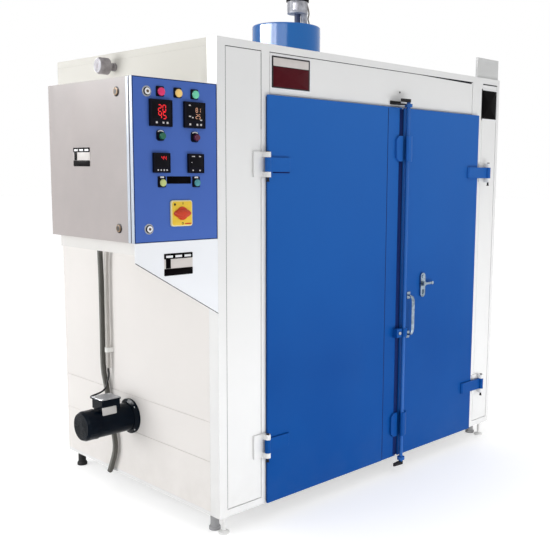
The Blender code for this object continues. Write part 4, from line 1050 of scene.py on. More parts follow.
class Dressing:
    """Gives each CAD node of the cabinet its finish."""

    finishes: dict[Finish, str] = {
        WHITE: "base_tray right_wall back_wall front_frame left_front_panel right_front_panel "
               "top_front_panel left_lower_frame_hinge left_upper_frame_hinge right_lower_frame_hinge "
               "right_upper_frame_hinge",
        WALL_WHITE: "left_wall roof_panel",
        BOX_WHITE: "control_box_shell box_support",
        GUSSET_WHITE: "support_gusset",
        ROD_BLUE: "lock_rod",
        CORNER_GREY: "roof_corner_box",
        BLUE: "left_door_panel left_door_strip left_lower_door_hinge left_upper_door_hinge right_door_panel "
              "right_lower_door_hinge right_upper_door_hinge",
        PANEL_BLUE: "control_door_panel",
        DRUM_BLUE: "blower_drum",
        SIDE_GREY: "side_door_panel",
        GALVANISED: "left_door_plug right_door_plug",
        GASKET: "doorway_gasket",
        CABLE: "motor_cable",
        CHROME: "pull_handle door_lock lock_lever",
        DARK_STEEL: "rod_keeper lower_cam upper_cam",
        ROOF_MOTOR: "roof_motor_body roof_motor_cowl",
        MOTOR_PAINT: "motor_flange motor_body motor_fan_cover motor_terminal_box",
        BLACK: "temperature_controller_1 temperature_controller_2 temperature_controller_3 "
               "temperature_controller_4",
        YELLOW: "switch_plate",
        RED: "switch_knob",
        SENSOR_GREY: "sensor_head",
        STOOL_GREY: "bearing_stool",
        CONDUIT_GREY: "supply_conduit",
        LEAD_GREY: "motor_conduit",
        CLIP_WHITE: "conduit_clip",
    }

    def build(self) -> None:
        """Put each finish in its nodes' material slots."""
        for finish, names in self.finishes.items():
            for name in names.split():
                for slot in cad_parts[name].material_slots:
                    slot.material = finish.material()
                LOG.info("%s: %s", name, finish.name)
        bare = set(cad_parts) - set(" ".join(self.finishes.values()).split())
        if bare:
            raise ValueError("no finish for %s" % sorted(bare))


@dataclass
class Feet:
    """Dark levelling feet under the white tray."""

    inset: float = 0.045
    front_y: float = 0.030
    pad: float = 0.0249
    nut: float = 0.0190
    stud: float = 0.0090
    pad_top: float = 0.0147
    nut_top: float = 0.0560
    stud_top: float = 0.0790

    def build(self) -> None:
        """Sleeve over each foot: pad, nut and stud."""
        pad, nut, stud = self.pad, self.nut, self.stud
        profile = [(0, 0.0002), (pad - 0.0003, 0.0002), (pad, 0.0110), (pad - 0.0014, self.pad_top),
                   (nut, self.pad_top + 0.0008), (nut, self.nut_top), (nut - 0.0015, self.nut_top + 0.0015),
                   (stud, self.nut_top + 0.0020), (stud, self.stud_top), (0, self.stud_top)]
        rows = (("front", Box.of("left_wall").low.y + self.front_y, FOOT_GREY),
                ("rear", Box.of("back_wall").high.y - self.inset, FOOT_BLACK))
        rail = Box.of("front_frame")
        for name, y, finish in rows:
            skins = [revolve(Facing.TOP.at(x, y, 0.0), profile, 24)
                     for x in (rail.low.x + self.inset, rail.high.x - self.inset)]
            add_piece(name + "_foot_sleeves", skins, finish, "cabinet")


# Control box

@dataclass(frozen=True)
class Lamp:
    """A lamp of the control door; its place is given from the door's upper outer corner."""

    name: str
    lens: Plastic
    across: float
    down: float
    radius: float = 0.0149
    tabbed: bool = False


@dataclass(frozen=True)
class Button:
    """A push button of the control door; its place is given from the door's upper outer corner."""

    name: str
    cap: Plastic
    across: float
    down: float


@dataclass(frozen=True)
class Meter:
    """A temperature controller; its place is given from the door's upper outer corner.

    Readings are (text, across, up, height), marks are (across, up, width) and keys are places across, all as
    shares of the meter's side from its middle.
    """

    number: int
    side: float
    across: float
    down: float
    keys: tuple[float, ...]
    readings: tuple[tuple[str, float, float, float], ...] = ()
    marks: tuple[tuple[float, float, float], ...] = ()
    glow: Plastic = DIGIT_RED


TOP_ROW = 0.048
LOW_ROW = 0.373
LOW_LENS = 0.0132
BUTTON_ROW = 0.205
LARGE_METER = 0.096
SMALL_METER = 0.072
LARGE_ROW = 0.123
SMALL_ROW = 0.301
LAMPS = (Lamp("red", LENS_RED, 0.116, TOP_ROW), Lamp("amber", LENS_AMBER, 0.192, TOP_ROW),
         Lamp("green", LENS_GREEN, 0.268, TOP_ROW), Lamp("lime", LENS_LIME, 0.118, LOW_ROW, LOW_LENS, True),
         Lamp("teal", LENS_TEAL, 0.272, LOW_ROW, LOW_LENS, True))
BUTTONS = (Button("green", CAP_GREEN, 0.115, BUTTON_ROW), Button("red", CAP_RED, 0.268, BUTTON_ROW))
METERS = (Meter(1, LARGE_METER, 0.115, LARGE_ROW, (-0.22, 0.08, 0.26),
                (("20", 0.02, 0.17, 0.24), ("45", 0.03, -0.09, 0.24))),
          Meter(2, LARGE_METER, 0.264, LARGE_ROW, (-0.24, 0.10, 0.28),
                (("81", 0.14, 0.19, 0.16), ("25", 0.14, -0.05, 0.16)),
                ((-0.25, -0.06, 0.10), (-0.12, -0.10, 0.07), (0.28, -0.18, 0.10), (-0.26, 0.36, 0.09)),
                DIGIT_AMBER),
          Meter(3, SMALL_METER, 0.115, SMALL_ROW, (-0.25, -0.07, 0.11, 0.28), (("44", 0.10, 0.24, 0.20),)),
          Meter(4, SMALL_METER, 0.268, SMALL_ROW, (-0.22, 0.22), (),
                ((-0.20, 0.36, 0.20), (0.22, 0.36, 0.14), (-0.30, 0.05, 0.05))))


@dataclass
class ControlFront:
    """Lamps, meters, buttons, switch and locks of the control box's blue door, and its grey door's locks."""

    fitting_depth: float = 0.019
    holder_width: float = 0.0345
    holder_height: float = 0.0365
    holder_up: float = 0.0015
    tab_raise: float = 0.0020
    tab_up: float = 0.0200
    tab_size: tuple[float, float] = (0.0160, 0.0058)
    bezel_radius: float = 0.0167
    bezel_height: float = 0.0082
    lens_rim: float = 0.0112
    lens_rise: float = 0.0056
    button_radius: float = 0.0145
    button_holder: tuple[float, float] = (0.0350, 0.0385)
    button_holder_up: float = 0.0020
    collar_width: float = 0.0024
    collar_height: float = 0.0108
    cap_height: float = 0.0208
    crescent_gap: float = 0.0030
    crescent_width: float = 0.0036
    crescent_span: tuple[float, float] = (52.0, 128.0)
    meter_proud: float = 0.0103
    meter_frame: float = 0.985
    meter_frame_bar: float = 0.045
    window_up: float = 0.10
    window_size: tuple[float, float] = (0.80, 0.62)
    key_down: float = 0.36
    key_size: tuple[float, float] = (0.082, 0.075)
    mark_height: float = 0.045
    switch_corner: float = 0.010
    switch_rim: float = 0.004
    print_height: float = 0.0011
    dot_place: tuple[float, float] = (-0.0325, 0.0335)
    dot_radius: float = 0.0048
    one_place: tuple[float, float] = (0.004, 0.0375)
    one_size: tuple[float, float] = (0.0024, 0.0090)
    zero_place: tuple[float, float] = (0.002, -0.0375)
    zero_radii: tuple[float, float] = (0.0026, 0.0044)
    red_mark_place: tuple[float, float] = (0.0270, -0.0385)
    red_mark_size: tuple[float, float] = (0.030, 0.0045)
    knob_skirt: float = 0.0040
    grip_reach: float = 0.0390
    grip_half_width: float = 0.0175
    lock_across: float = 0.06
    lock_inset: float = 0.05
    lock_plate: float = 0.0192
    lock_key: float = 0.0118
    lock_well: float = 0.0052
    side_sheet: float = 0.006
    side_lock_inset: float = 0.0765
    side_lock_plate: float = 0.0178
    side_lock_key: float = 0.0080
    side_fold_inset: float = 0.0085
    side_fold_width: float = 0.0155
    edge_width: float = 0.0032
    strip_place: tuple[float, float] = (0.1945, 0.363)
    strip_size: tuple[float, float] = (0.108, 0.027)

    def spot(self, across: float, down: float, out: float = 0.0) -> Spot:
        """A spot on the door's face, given from its upper outer corner."""
        low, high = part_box("control_door_panel")
        return Facing.FRONT.at(low.x + across, low.y + self.fitting_depth - out, high.z - down)

    def build(self) -> None:
        """Make every fitting."""
        for lamp in LAMPS:
            self.lamp(lamp)
        for button in BUTTONS:
            self.button(button)
        for meter in METERS:
            self.meter(meter)
        self.switch()
        self.knob()
        self.locks()
        self.side_locks()
        self.edges()
        self.blank_strip()

    def lamp(self, lamp: Lamp) -> None:
        """Lamp: black holder and bezel, a crowned lens that covers the CAD stub, and a bare tab on some.

        Args:
            lamp: which lamp.
        """
        spot = self.spot(lamp.across, lamp.down)
        r, wide = lamp.radius, self.bezel_radius
        raised = self.tab_raise if lamp.tabbed else 0.0
        tall = self.holder_height + 2 * raised
        holder = slab(spot.moved(up=self.holder_up + raised), self.holder_width, tall, 0.004, HOLDER_EDGE)
        top = self.bezel_height
        bezel = [(r * 0.9, 0.0), (wide, 0.0), (wide, top - 0.0012), (wide - 0.0010, top),
                 (r * 0.98, top + 0.0002)]
        add_piece("lamp_holder_" + lamp.name, [holder, ring(spot, bezel)], BLACK, "control_door")
        lens = [(0, 0.002), (r, 0.002)] + dome(r, self.lens_rim, self.lens_rise, 0.0, 8)
        add_piece("lamp_lens_" + lamp.name, [revolve(spot, lens)], lamp.lens, "control_door")
        if lamp.tabbed:
            tab = slab(spot.moved(up=self.tab_up, out=0.0026), *self.tab_size, 0.0012, SHEET_EDGE)
            add_piece("lamp_tab_" + lamp.name, [tab], TAB_WHITE, "control_door")

    def button(self, button: Button) -> None:
        """Push button: black collar with a flat cap, and a white crescent above it.

        Args:
            button: which button.
        """
        spot = self.spot(button.across, button.down)
        r = self.button_radius
        holder = slab(spot.moved(up=self.button_holder_up), *self.button_holder, 0.010, HOLDER_EDGE)
        wide, top = r + self.collar_width, self.collar_height
        collar = [(r * 0.8, 0.0), (wide, 0.0), (wide, 0.0060), (wide - 0.0018, top), (r * 0.86, top)]
        add_piece("button_collar_" + button.name, [holder, ring(spot, collar)], BLACK, "control_door")
        top = self.cap_height
        cap = [(0, 0.003), (r * 0.84, 0.003), (r * 0.84, top - 0.0018), (r * 0.78, top - 0.0005),
               (r * 0.55, top - 0.0001), (0, top)]
        add_piece("button_cap_" + button.name, [revolve(spot, cap)], button.cap, "control_door")
        inner = r + self.crescent_gap
        radii = (inner, inner + self.crescent_width)
        arc = arc_wall(spot, radii, np.radians(self.crescent_span), (0.0024, 0.0036))
        add_piece("button_crescent_" + button.name, [arc], TAB_WHITE, "control_door")

    def meter(self, meter: Meter) -> None:
        """Meter: raised frame, dark window, number segments and small keys.

        Args:
            meter: which meter.
        """
        spot = self.spot(meter.across, meter.down, self.meter_proud)
        size = meter.side
        outer = size * self.meter_frame
        rim = frame_skin(spot, outer, outer, size * self.meter_frame_bar, 0.0012)
        add_piece("meter_frame_%d" % meter.number, [rim], BLACK, "control_door")
        wide, tall = self.window_size
        window = slab(spot.moved(up=size * self.window_up), size * wide, size * tall, 0.003, WINDOW_EDGE)
        add_piece("meter_window_%d" % meter.number, [window], SCREEN, "control_door")
        skins = []
        for text, side, level, height in meter.readings:
            skins += segments(spot.moved(size * side, size * level, 0.0006), text, size * height)
        if skins:
            add_piece("meter_digits_%d" % meter.number, skins, meter.glow, "control_door")
        wide, tall = self.key_size
        row = spot.moved(up=-size * self.key_down)
        keys = [slab(row.moved(size * side), size * wide, size * tall, 0.0015, KEY_EDGE)
                for side in meter.keys]
        for side, level, wide in meter.marks:
            place = spot.moved(size * side, size * level, 0.0004)
            keys.append(slab(place, size * wide, size * self.mark_height, 0.001, KEY_EDGE))
        add_piece("meter_keys_%d" % meter.number, keys, LEGEND, "control_door")

    def switch(self) -> None:
        """Main switch: rounded plate with a pale rim, a yellow field and marks."""
        box = Box.of("switch_plate")
        foot = box.side(Facing.FRONT, -1)
        side, depth, corner = box.size.x, box.size.y, self.switch_corner
        edge = [(0.0, 0.0), (0.0, depth - 0.002), (0.0015, depth - 0.0006), (0.0035, depth)]
        plate = add_piece("switch_cover", [slab(foot, side, side, corner, edge)], RIM_CREAM, "control_door")
        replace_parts(plate, "switch_plate")
        face = foot.moved(out=depth)
        inner = side - 2 * self.switch_rim
        field = slab(face, inner, inner, corner - 0.002, FIELD_EDGE)
        add_piece("switch_field", [field], YELLOW, "control_door")
        height, r = self.print_height, self.dot_radius
        dot = [(0, -0.0003), (r, -0.0003), (r, height - 0.0001), (0, height)]
        one = np.array(((-1, -1), (1, -1), (1, 1), (-1, 1))) * np.array(self.one_size) / 2
        marks = [revolve(face.moved(*self.dot_place), dot, 20),
                 polygon_bar(face.moved(*self.one_place), one, height),
                 band(face.moved(*self.zero_place), self.zero_radii, (0.0, height), 20)]
        add_piece("switch_marks", marks, MARK_DARK, "control_door")
        note = slab(face.moved(*self.red_mark_place), *self.red_mark_size, 0.001, PRINT_EDGE)
        add_piece("switch_red_mark", [note], RED, "control_door")

    def knob(self) -> None:
        """Knob: round skirt and an eye-shaped grip with pointed ends and sloping flanks.

        Half of the eye = (reach * cos a, half width * sin(a) ** 1.25), with a from 0 to a half turn.
        """
        box = Box.of("switch_knob")
        foot = box.side(Facing.FRONT, -1)
        r = box.size.x / 2
        wide = r + self.knob_skirt
        skirt = [(0, 0.0), (wide, 0.0), (wide, 0.0035), (wide - 0.0020, 0.0060), (r * 0.6, 0.0068),
                 (0, 0.0068)]
        angle = np.linspace(0, math.pi, 21)
        bulge = np.sin(angle) ** 1.25
        half = np.stack((self.grip_reach * np.cos(angle), self.grip_half_width * bulge), axis=-1)
        eye = np.vstack((half, -half[1:-1]))
        flanks = [(0, 0.0012), (1.0, 0.0012), (1.0, 0.0045), (0.86, 0.0110), (0.50, 0.0165), (0, 0.0180)]
        skins = [revolve(foot, skirt, 40), stacked(foot, eye, flanks)]
        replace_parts(add_piece("switch_grip", skins, RED, "switch_knob", angle=24.0), "switch_knob")

    def locks(self) -> None:
        """Quarter-turn locks of the blue door: pale escutcheon, ring, key insert and dark well."""
        height = Box.of("control_door_panel").size.z
        for name, down in (("top", self.lock_inset), ("bottom", height - self.lock_inset)):
            spot = self.spot(self.lock_across, down)
            r = self.lock_well
            well = [(0, 0.0068), (r, 0.0068), (r, 0.0082), (r - 0.0022, 0.0084), (0, 0.0076)]
            rows = (("plate_", lock_plate(spot, self.lock_plate), LOCK_GREY),
                    ("ring_", lock_ring(spot.moved(out=0.0004)), DARK_STEEL),
                    ("key_", lock_key(spot.moved(out=0.0008), self.lock_key), TAB_WHITE),
                    ("well_", [revolve(spot, well, 24)], BRONZE))
            for part, skins, finish in rows:
                add_piece("box_lock_" + part + name, skins, finish, "control_door")

    def side_locks(self) -> None:
        """Quarter-turn locks of the grey door: dark escutcheon, bronze ring and dark insert."""
        low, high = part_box("side_door_panel")
        for name, z in (("top", high.z - self.lock_inset), ("bottom", low.z + self.lock_inset)):
            spot = Facing.LEFT.at(low.x + self.side_sheet - 0.0002, low.y + self.side_lock_inset, z)
            rows = (("plate_", lock_plate(spot, self.side_lock_plate), DARK_STEEL),
                    ("ring_", lock_ring(spot.moved(out=-0.0009)), BRONZE),
                    ("key_", lock_key(spot.moved(out=-0.0014), self.side_lock_key), DARK_STEEL))
            for part, skins, finish in rows:
                add_piece("side_lock_" + part + name, skins, finish, "side_door")

    def edges(self) -> None:
        """Dark line of painted shade round the blue door, and the pale folded edges of the blue door and of
        the grey side door.
        """
        box = Box.of("control_door_panel")
        middle = self.spot(box.size.x / 2, box.size.z / 2)
        line = frame_skin(middle, box.size.x - 0.0006, box.size.z - 0.0006, self.edge_width, 0.0003)
        add_piece("control_door_edge", [line], EDGE_BLUE, "control_door")
        face = box.low.y + self.fitting_depth
        rim = Facing.LEFT.at(box.low.x, (face + box.high.y) / 2, box.middle.z)
        fold = slab(rim, box.high.y - face - 0.001, box.size.z - 0.001, 0.001, SHEET_EDGE)
        add_piece("control_door_fold", [fold], EDGE_PALE, "control_door")
        box = Box.of("side_door_panel")
        rim = Facing.LEFT.at(box.low.x + self.side_sheet, box.low.y + self.side_fold_inset, box.middle.z)
        fold = slab(rim, self.side_fold_width, box.size.z - 0.002, 0.002, SHEET_EDGE)
        add_piece("side_door_fold", [fold], EDGE_PALE, "side_door")

    def blank_strip(self) -> None:
        """Bare dark strip between the two lower lamps."""
        strip = slab(self.spot(*self.strip_place), *self.strip_size, 0.002, SHEET_EDGE)
        add_piece("blank_strip", [strip], SIGN_DARK, "control_door")


def lock_plate(spot: Spot, radius: float) -> list[Skin]:
    """Flat round escutcheon of a quarter-turn lock.

    Args:
        spot: middle of the lock.
        radius: outer radius.

    Returns:
        The skin of the escutcheon.
    """
    inner = 0.0120
    return [ring(spot, [(inner, -0.0003), (radius, -0.0003), (radius, 0.0014), (radius - 0.0010, 0.0022),
                        (inner, 0.0026)])]


def lock_ring(spot: Spot) -> list[Skin]:
    """Ring of a quarter-turn lock."""
    return [ring(spot, [(0.0085, 0.0), (0.0146, 0.0), (0.0146, 0.0040), (0.0130, 0.0063), (0.0105, 0.0064),
                        (0.0085, 0.0045)])]


def lock_key(spot: Spot, radius: float) -> list[Skin]:
    """Insert of a quarter-turn lock: a disc with a raised bar for the key.

    Args:
        spot: middle of the lock.
        radius: radius of the insert.

    Returns:
        The skins of the insert.
    """
    disc = revolve(spot, [(0, 0.004), (radius, 0.004), (radius, 0.0062), (0, 0.0062)])
    return [disc, slab(spot.tilted(0.7), radius * 1.3, 0.003, 0.0012, LOCK_BAR_EDGE)]


SEGMENTS = {"0": "abcdef", "1": "bc", "2": "abged", "4": "fgbc", "5": "afgcd", "8": "abcdefg"}


def segments(spot: Spot, text: str, height: float) -> list[Skin]:
    """Seven-segment numbers: each segment is a thin bar with pointed ends.

    Args:
        spot: middle of the row of numbers.
        text: numbers to show.
        height: height of a number.

    Returns:
        One skin per lit segment.
    """
    width = height * 0.52
    thick = height * 0.15
    half = height / 2
    place = {"a": (0, half, 0), "g": (0, 0, 0), "d": (0, -half, 0), "b": (width / 2, half / 2, 1),
             "c": (width / 2, -half / 2, 1), "f": (-width / 2, half / 2, 1), "e": (-width / 2, -half / 2, 1)}
    pitch = width * 1.6
    first = -(len(text) - 1) * pitch / 2
    side = thick / 2
    skins = []
    for number, sign in enumerate(text):
        for key in SEGMENTS[sign]:
            across, up, upright = place[key]
            end = (half if upright else width) / 2 - thick * 0.15
            bar = np.array(((-end, 0), (-end + side, -side), (end - side, -side), (end, 0),
                            (end - side, side), (-end + side, side)))
            if upright:
                bar = bar[:, ::-1] * np.array((-1, 1))
            skins.append(polygon_bar(spot.moved(first + number * pitch + across, up), bar, 0.0003))
    return skins


# Double doors

@dataclass
class DoorHardware:
    """Hinge pins, the latch bolt, dark strips of painted shadow where the doors meet and along a hinge strap,
    and the small screw above the rod.
    """

    pin_inset: float = 0.0125
    pin_head: float = 0.0068
    pin_neck: float = 0.0049
    pin_length: float = 0.018
    cap_sunk: float = 0.004
    bolt_inset: float = 0.019
    bolt_up: float = 0.7135
    bolt_radius: float = 0.0085
    bolt_height: float = 0.006
    strip_width: float = 0.107
    strip_thick: float = 0.005
    strap_out: float = 0.0043
    strap_line: float = 0.0052
    leaf_gap: float = 0.014
    edge_shadow: tuple[float, float] = (0.0042, 0.0070)
    gap_shadow: tuple[float, float] = (0.0063, 0.0225)
    shadow_short: float = 0.012
    right_shadow_inset: float = 0.002
    right_shadow_sunk: float = 0.0022
    right_shadow_width: float = 0.009
    screw_radius: float = 0.0045
    screw_shift: float = 0.028
    screw_up: float = 1.872

    def build(self) -> None:
        """Make every piece."""
        self.hinge_pins()
        self.latch_bolt()
        self.meeting_shadows()
        self.strap_lines()
        self.panel_screw()

    def hinge_pins(self) -> None:
        """Dark sleeve over the lower end of each white pin, and a dark cap over the upper one."""
        head, neck = self.pin_head, self.pin_neck
        sleeve = [(0, -0.0002), (head, -0.0002), (head, 0.0042), (neck, 0.0042), (neck, self.pin_length),
                  (0, self.pin_length)]
        cap = [(0, 0.0), (head, 0.0), (head, 0.0040), (head - 0.0008, 0.0043), (0, 0.0043)]
        for side in ("left", "right"):
            for place in ("lower", "upper"):
                low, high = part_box("%s_%s_frame_hinge" % (side, place))
                foot = Facing.TOP.at(high.x - self.pin_inset, low.y + self.pin_inset, low.z)
                top = foot.moved(out=high.z - self.cap_sunk - low.z)
                skins = [revolve(foot, sleeve, 20), revolve(top, cap, 20)]
                add_piece("%s_%s_hinge_pin" % (side, place), skins, DARK_STEEL, "cabinet")

    def latch_bolt(self) -> None:
        """Bright bolt head on the left door's latch tab."""
        low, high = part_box("left_door_strip")
        spot = Facing.FRONT.at(high.x - self.bolt_inset, low.y + 0.0002, self.bolt_up)
        add_piece("latch_bolt", [hex_head(spot, self.bolt_radius, self.bolt_height)], ZINC, "left_door")

    def meeting_shadows(self) -> None:
        """Dark blue strips of painted shadow: along the left leaf's edge, along the gap, and on the right
        leaf's edge.
        """
        leaf = Box.of("left_door_panel")
        face = leaf.high.y - self.strip_thick
        length = leaf.size.z - self.shadow_short
        near, far = self.edge_shadow, self.gap_shadow
        rows = ((leaf.high.x + near[0], near[1]), (leaf.high.x + self.strip_width - far[0], far[1]))
        skins = [slab(Facing.FRONT.at(x, face, leaf.middle.z), width, length, 0.001, SHADOW_STRIP_EDGE)
                 for x, width in rows]
        add_piece("meeting_shadows", skins, SHADE_BLUE, "left_door")
        edge = leaf.high.x + self.strip_width + self.leaf_gap
        right_shadow_spot = Facing.FRONT.at(edge - self.right_shadow_inset, leaf.high.y - self.right_shadow_sunk, leaf.middle.z)
        add_piece("right_leaf_shadow", [slab(right_shadow_spot, self.right_shadow_width, length, 0.0005, RIGHT_SHADOW_EDGE)], SHADE_BLUE,
                  "right_door")

    def strap_lines(self) -> None:
        """Dark lines of painted shadow along the strap of the left door's upper hinge: one on it and one
        below it.
        """
        low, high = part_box("left_upper_door_hinge")
        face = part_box("left_door_panel")[0].y
        rows = ((high.z - 0.007, self.strap_out, 0.067, 0.143), (low.z - 0.003, 0.0, 0.052, 0.146))
        skins = [slab(Facing.FRONT.at(low.x + (start + end) / 2, face - out, z), end - start, self.strap_line,
                      0.002, LINE_EDGE) for z, out, start, end in rows]
        add_piece("left_strap_lines", skins, SHADE_BLUE, "left_door")

    def panel_screw(self) -> None:
        """Small dark screw on the top panel, left of the rod."""
        x = Box.of("lock_rod").middle.x - self.screw_shift
        spot = Facing.FRONT.at(x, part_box("top_front_panel")[0].y, self.screw_up)
        add_piece("top_panel_screw", [screw(spot, self.screw_radius)], DARK_STEEL, "cabinet")


@dataclass
class Plates:
    """Bare plates and signs, and dark lines of painted shadow in the joints round the front panels.

    Places are (across from the frame's left end, up from the floor), sizes are (across, up).
    """

    layer: float = 0.0009
    sign_place: tuple[float, float] = (0.389, 1.8935)
    sign_size: tuple[float, float] = (0.230, 0.141)
    sign_rim: float = 0.007
    sign_inner_rim: float = 0.015
    header: tuple[float, float] = (0.0405, 0.033)
    field: tuple[float, float] = (-0.0185, 0.080)
    dark_place: tuple[float, float] = (1.865, 1.8615)
    dark_size: tuple[float, float] = (0.150, 0.164)
    dark_rim: float = 0.0075
    gusset_place: tuple[float, float] = (-0.1875, 1.1445)
    gusset_size: tuple[float, float] = (0.129, 0.083)
    side_sheet: float = 0.006
    side_inset: float = 0.3295
    side_up: float = 1.5395
    side_size: tuple[float, float] = (0.121, 0.071)
    joint: float = 0.0014
    right_joint: float = 0.30
    right_joint_down: float = 0.16
    wedge_length: float = 0.42
    wedge_heights: tuple[float, float] = (0.0030, 0.0105)
    wedge_inset: float = 0.012
    gap_line: float = 0.0050
    edge_line: float = 0.0032

    def build(self) -> None:
        """Make the plates, the gusset's edge line and the joints."""
        self.sign()
        self.dark_plate()
        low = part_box("side_door_panel")[0]
        side = Facing.LEFT.at(low.x + self.side_sheet, low.y + self.side_inset, self.side_up)
        self.banded("side_name_plate", side, *self.side_size, "side_door")
        gusset = self.front_spot("support_gusset", self.gusset_place)
        self.banded("gusset_plate", gusset, *self.gusset_size, "cabinet")
        self.gusset_edge()
        self.joints()
        self.panel_gap()

    def front_spot(self, node: str, place: tuple[float, float]) -> Spot:
        """A spot on a node's front, at a place given from the frame's left end and the floor."""
        return Facing.FRONT.at(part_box("front_frame")[0].x + place[0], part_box(node)[0].y, place[1])

    def sign(self) -> None:
        """Bare sign: pale margin, dark frame, pale header and maroon field."""
        spot = self.front_spot("top_front_panel", self.sign_place)
        wide, high = self.sign_size
        rim = 2 * self.sign_rim
        inner = wide - 2 * self.sign_inner_rim
        rows = (("margin", TAB_WHITE, 0.0, 0, wide, high, 0.004),
                ("frame", SIGN_GREY, 0.0, 1, wide - rim, high - rim, 0.003),
                ("header", SIGN_HEADER, self.header[0], 2, inner, self.header[1], 0.002),
                ("field", SIGN_RED, self.field[0], 2, inner, self.field[1], 0.002))
        for name, finish, up, layer, across, tall, corner in rows:
            plate = slab(spot.moved(up=up, out=layer * self.layer), across, tall, corner, SHEET_EDGE)
            add_piece("red_sign_" + name, [plate], finish, "cabinet")

    def dark_plate(self) -> None:
        """Bare dark plate with a pale margin at the upper right."""
        spot = self.front_spot("right_front_panel", self.dark_place)
        wide, high = self.dark_size
        rim = 2 * self.dark_rim
        add_piece("dark_plate_margin", [slab(spot, wide, high, 0.004, SHEET_EDGE)], TAB_WHITE, "cabinet")
        plate = slab(spot.moved(out=self.layer), wide - rim, high - rim, 0.003, SHEET_EDGE)
        add_piece("dark_plate", [plate], SIGN_DARK, "cabinet")

    def banded(self, name: str, spot: Spot, width: float, height: float, body: str) -> None:
        """Bare plate in bands: dark strip with three pale pads, pale field with a dark block, dark strip.

        Bands and pads are (across, up, width, height) as shares of the plate's size, then the corner radius.

        Args:
            name: name of the plate.
            spot: its middle.
            width: size across.
            height: size up.
            body: body that it is fixed to.
        """
        bands = ((0.0, 0.375, 1.0, 0.25, 0.003), (0.0, -0.34, 1.0, 0.32, 0.003),
                 (-0.36, 0.04, 0.17, 0.42, 0.001))
        pads = tuple((side, 0.36, 0.23, 0.10, 0.001) for side in (-0.32, 0.0, 0.32))
        add_piece(name, [slab(spot, width, height, 0.003, SHEET_EDGE)], SIGN_HEADER, body)
        layers = (("_bands", bands, SIGN_DARK, 0.0008), ("_pads", pads, TAB_WHITE, 0.0016))
        for ending, rows, finish, out in layers:
            skins = []
            for across, up, wide, tall, corner in rows:
                place = spot.moved(width * across, height * up, out)
                skins.append(slab(place, width * wide, height * tall, corner, SHEET_EDGE))
            add_piece(name + ending, skins, finish, body)

    def gusset_edge(self) -> None:
        """Dark line of painted shade along the gusset's sloping lower edge, between its two lowest front
        corners.
        """
        near = 0.0005
        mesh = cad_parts["support_gusset"].data
        points = np.array([corner.co for corner in mesh.vertices])
        points = points[points[:, 1] < points[:, 1].min() + near]
        outer = points[points[:, 0] < points[:, 0].min() + near]
        outer = outer[outer[:, 2].argmin()]
        inner = points[points[:, 2].argmin()]
        run, fall = inner[0] - outer[0], inner[2] - outer[2]
        line = np.array(((0.0, 0.0), (run, fall), (run, fall + self.edge_line), (0.0, self.edge_line)))
        spot = Facing.FRONT.at(outer[0], outer[1] - 0.0002, outer[2])
        add_piece("gusset_edge_line", [polygon_bar(spot, line, 0.0003)], GAP_DARK, "cabinet")

    def joints(self) -> None:
        """Dark joint lines along the top (t), left (l) and right (r) edges of the inset front panels: painted
        shadow in the joints.
        """
        skins = []
        panels = {"left_front_panel": "tlr", "top_front_panel": "t", "right_front_panel": "t"}
        for name, sides in panels.items():
            box = Box.of(name)
            face, joint = box.low.y, self.joint
            lines = {"t": (box.middle.x, box.high.z - joint, box.size.x - 0.002, joint * 2),
                     "l": (box.low.x + joint * 0.6, box.middle.z, joint * 1.2, box.size.z - 0.006),
                     "r": (box.high.x - joint * 0.4, box.high.z - self.right_joint_down, joint * 0.8,
                           self.right_joint)}
            for side in sides:
                x, z, wide, tall = lines[side]
                skins.append(slab(Facing.FRONT.at(x, face, z), wide, tall, 0.0003, JOINT_EDGE))
        add_piece("front_panel_joints", skins, GAP_DARK, "cabinet")

    def panel_gap(self) -> None:
        """Black strip of painted shadow in the gap that widens to the right above the top panel, and goes on
        above the right panel.
        """
        box = Box.of("top_front_panel")
        start = -self.wedge_length
        thin, thick = self.wedge_heights
        wedge = np.array(((start, -thin), (0.0, -thick), (0.0, 0.0), (start, 0.0)))
        spot = Facing.FRONT.at(box.high.x - self.wedge_inset, box.low.y - 0.0003, box.high.z)
        right = Box.of("right_front_panel")
        place = Facing.FRONT.at(right.middle.x, right.low.y, right.high.z - 0.003)
        line = slab(place, right.size.x - 0.004, self.gap_line, 0.0003, GAP_EDGE)
        add_piece("top_panel_gap", [polygon_bar(spot, wedge, 0.0003), line], BLACK, "cabinet")


# Motors and roof

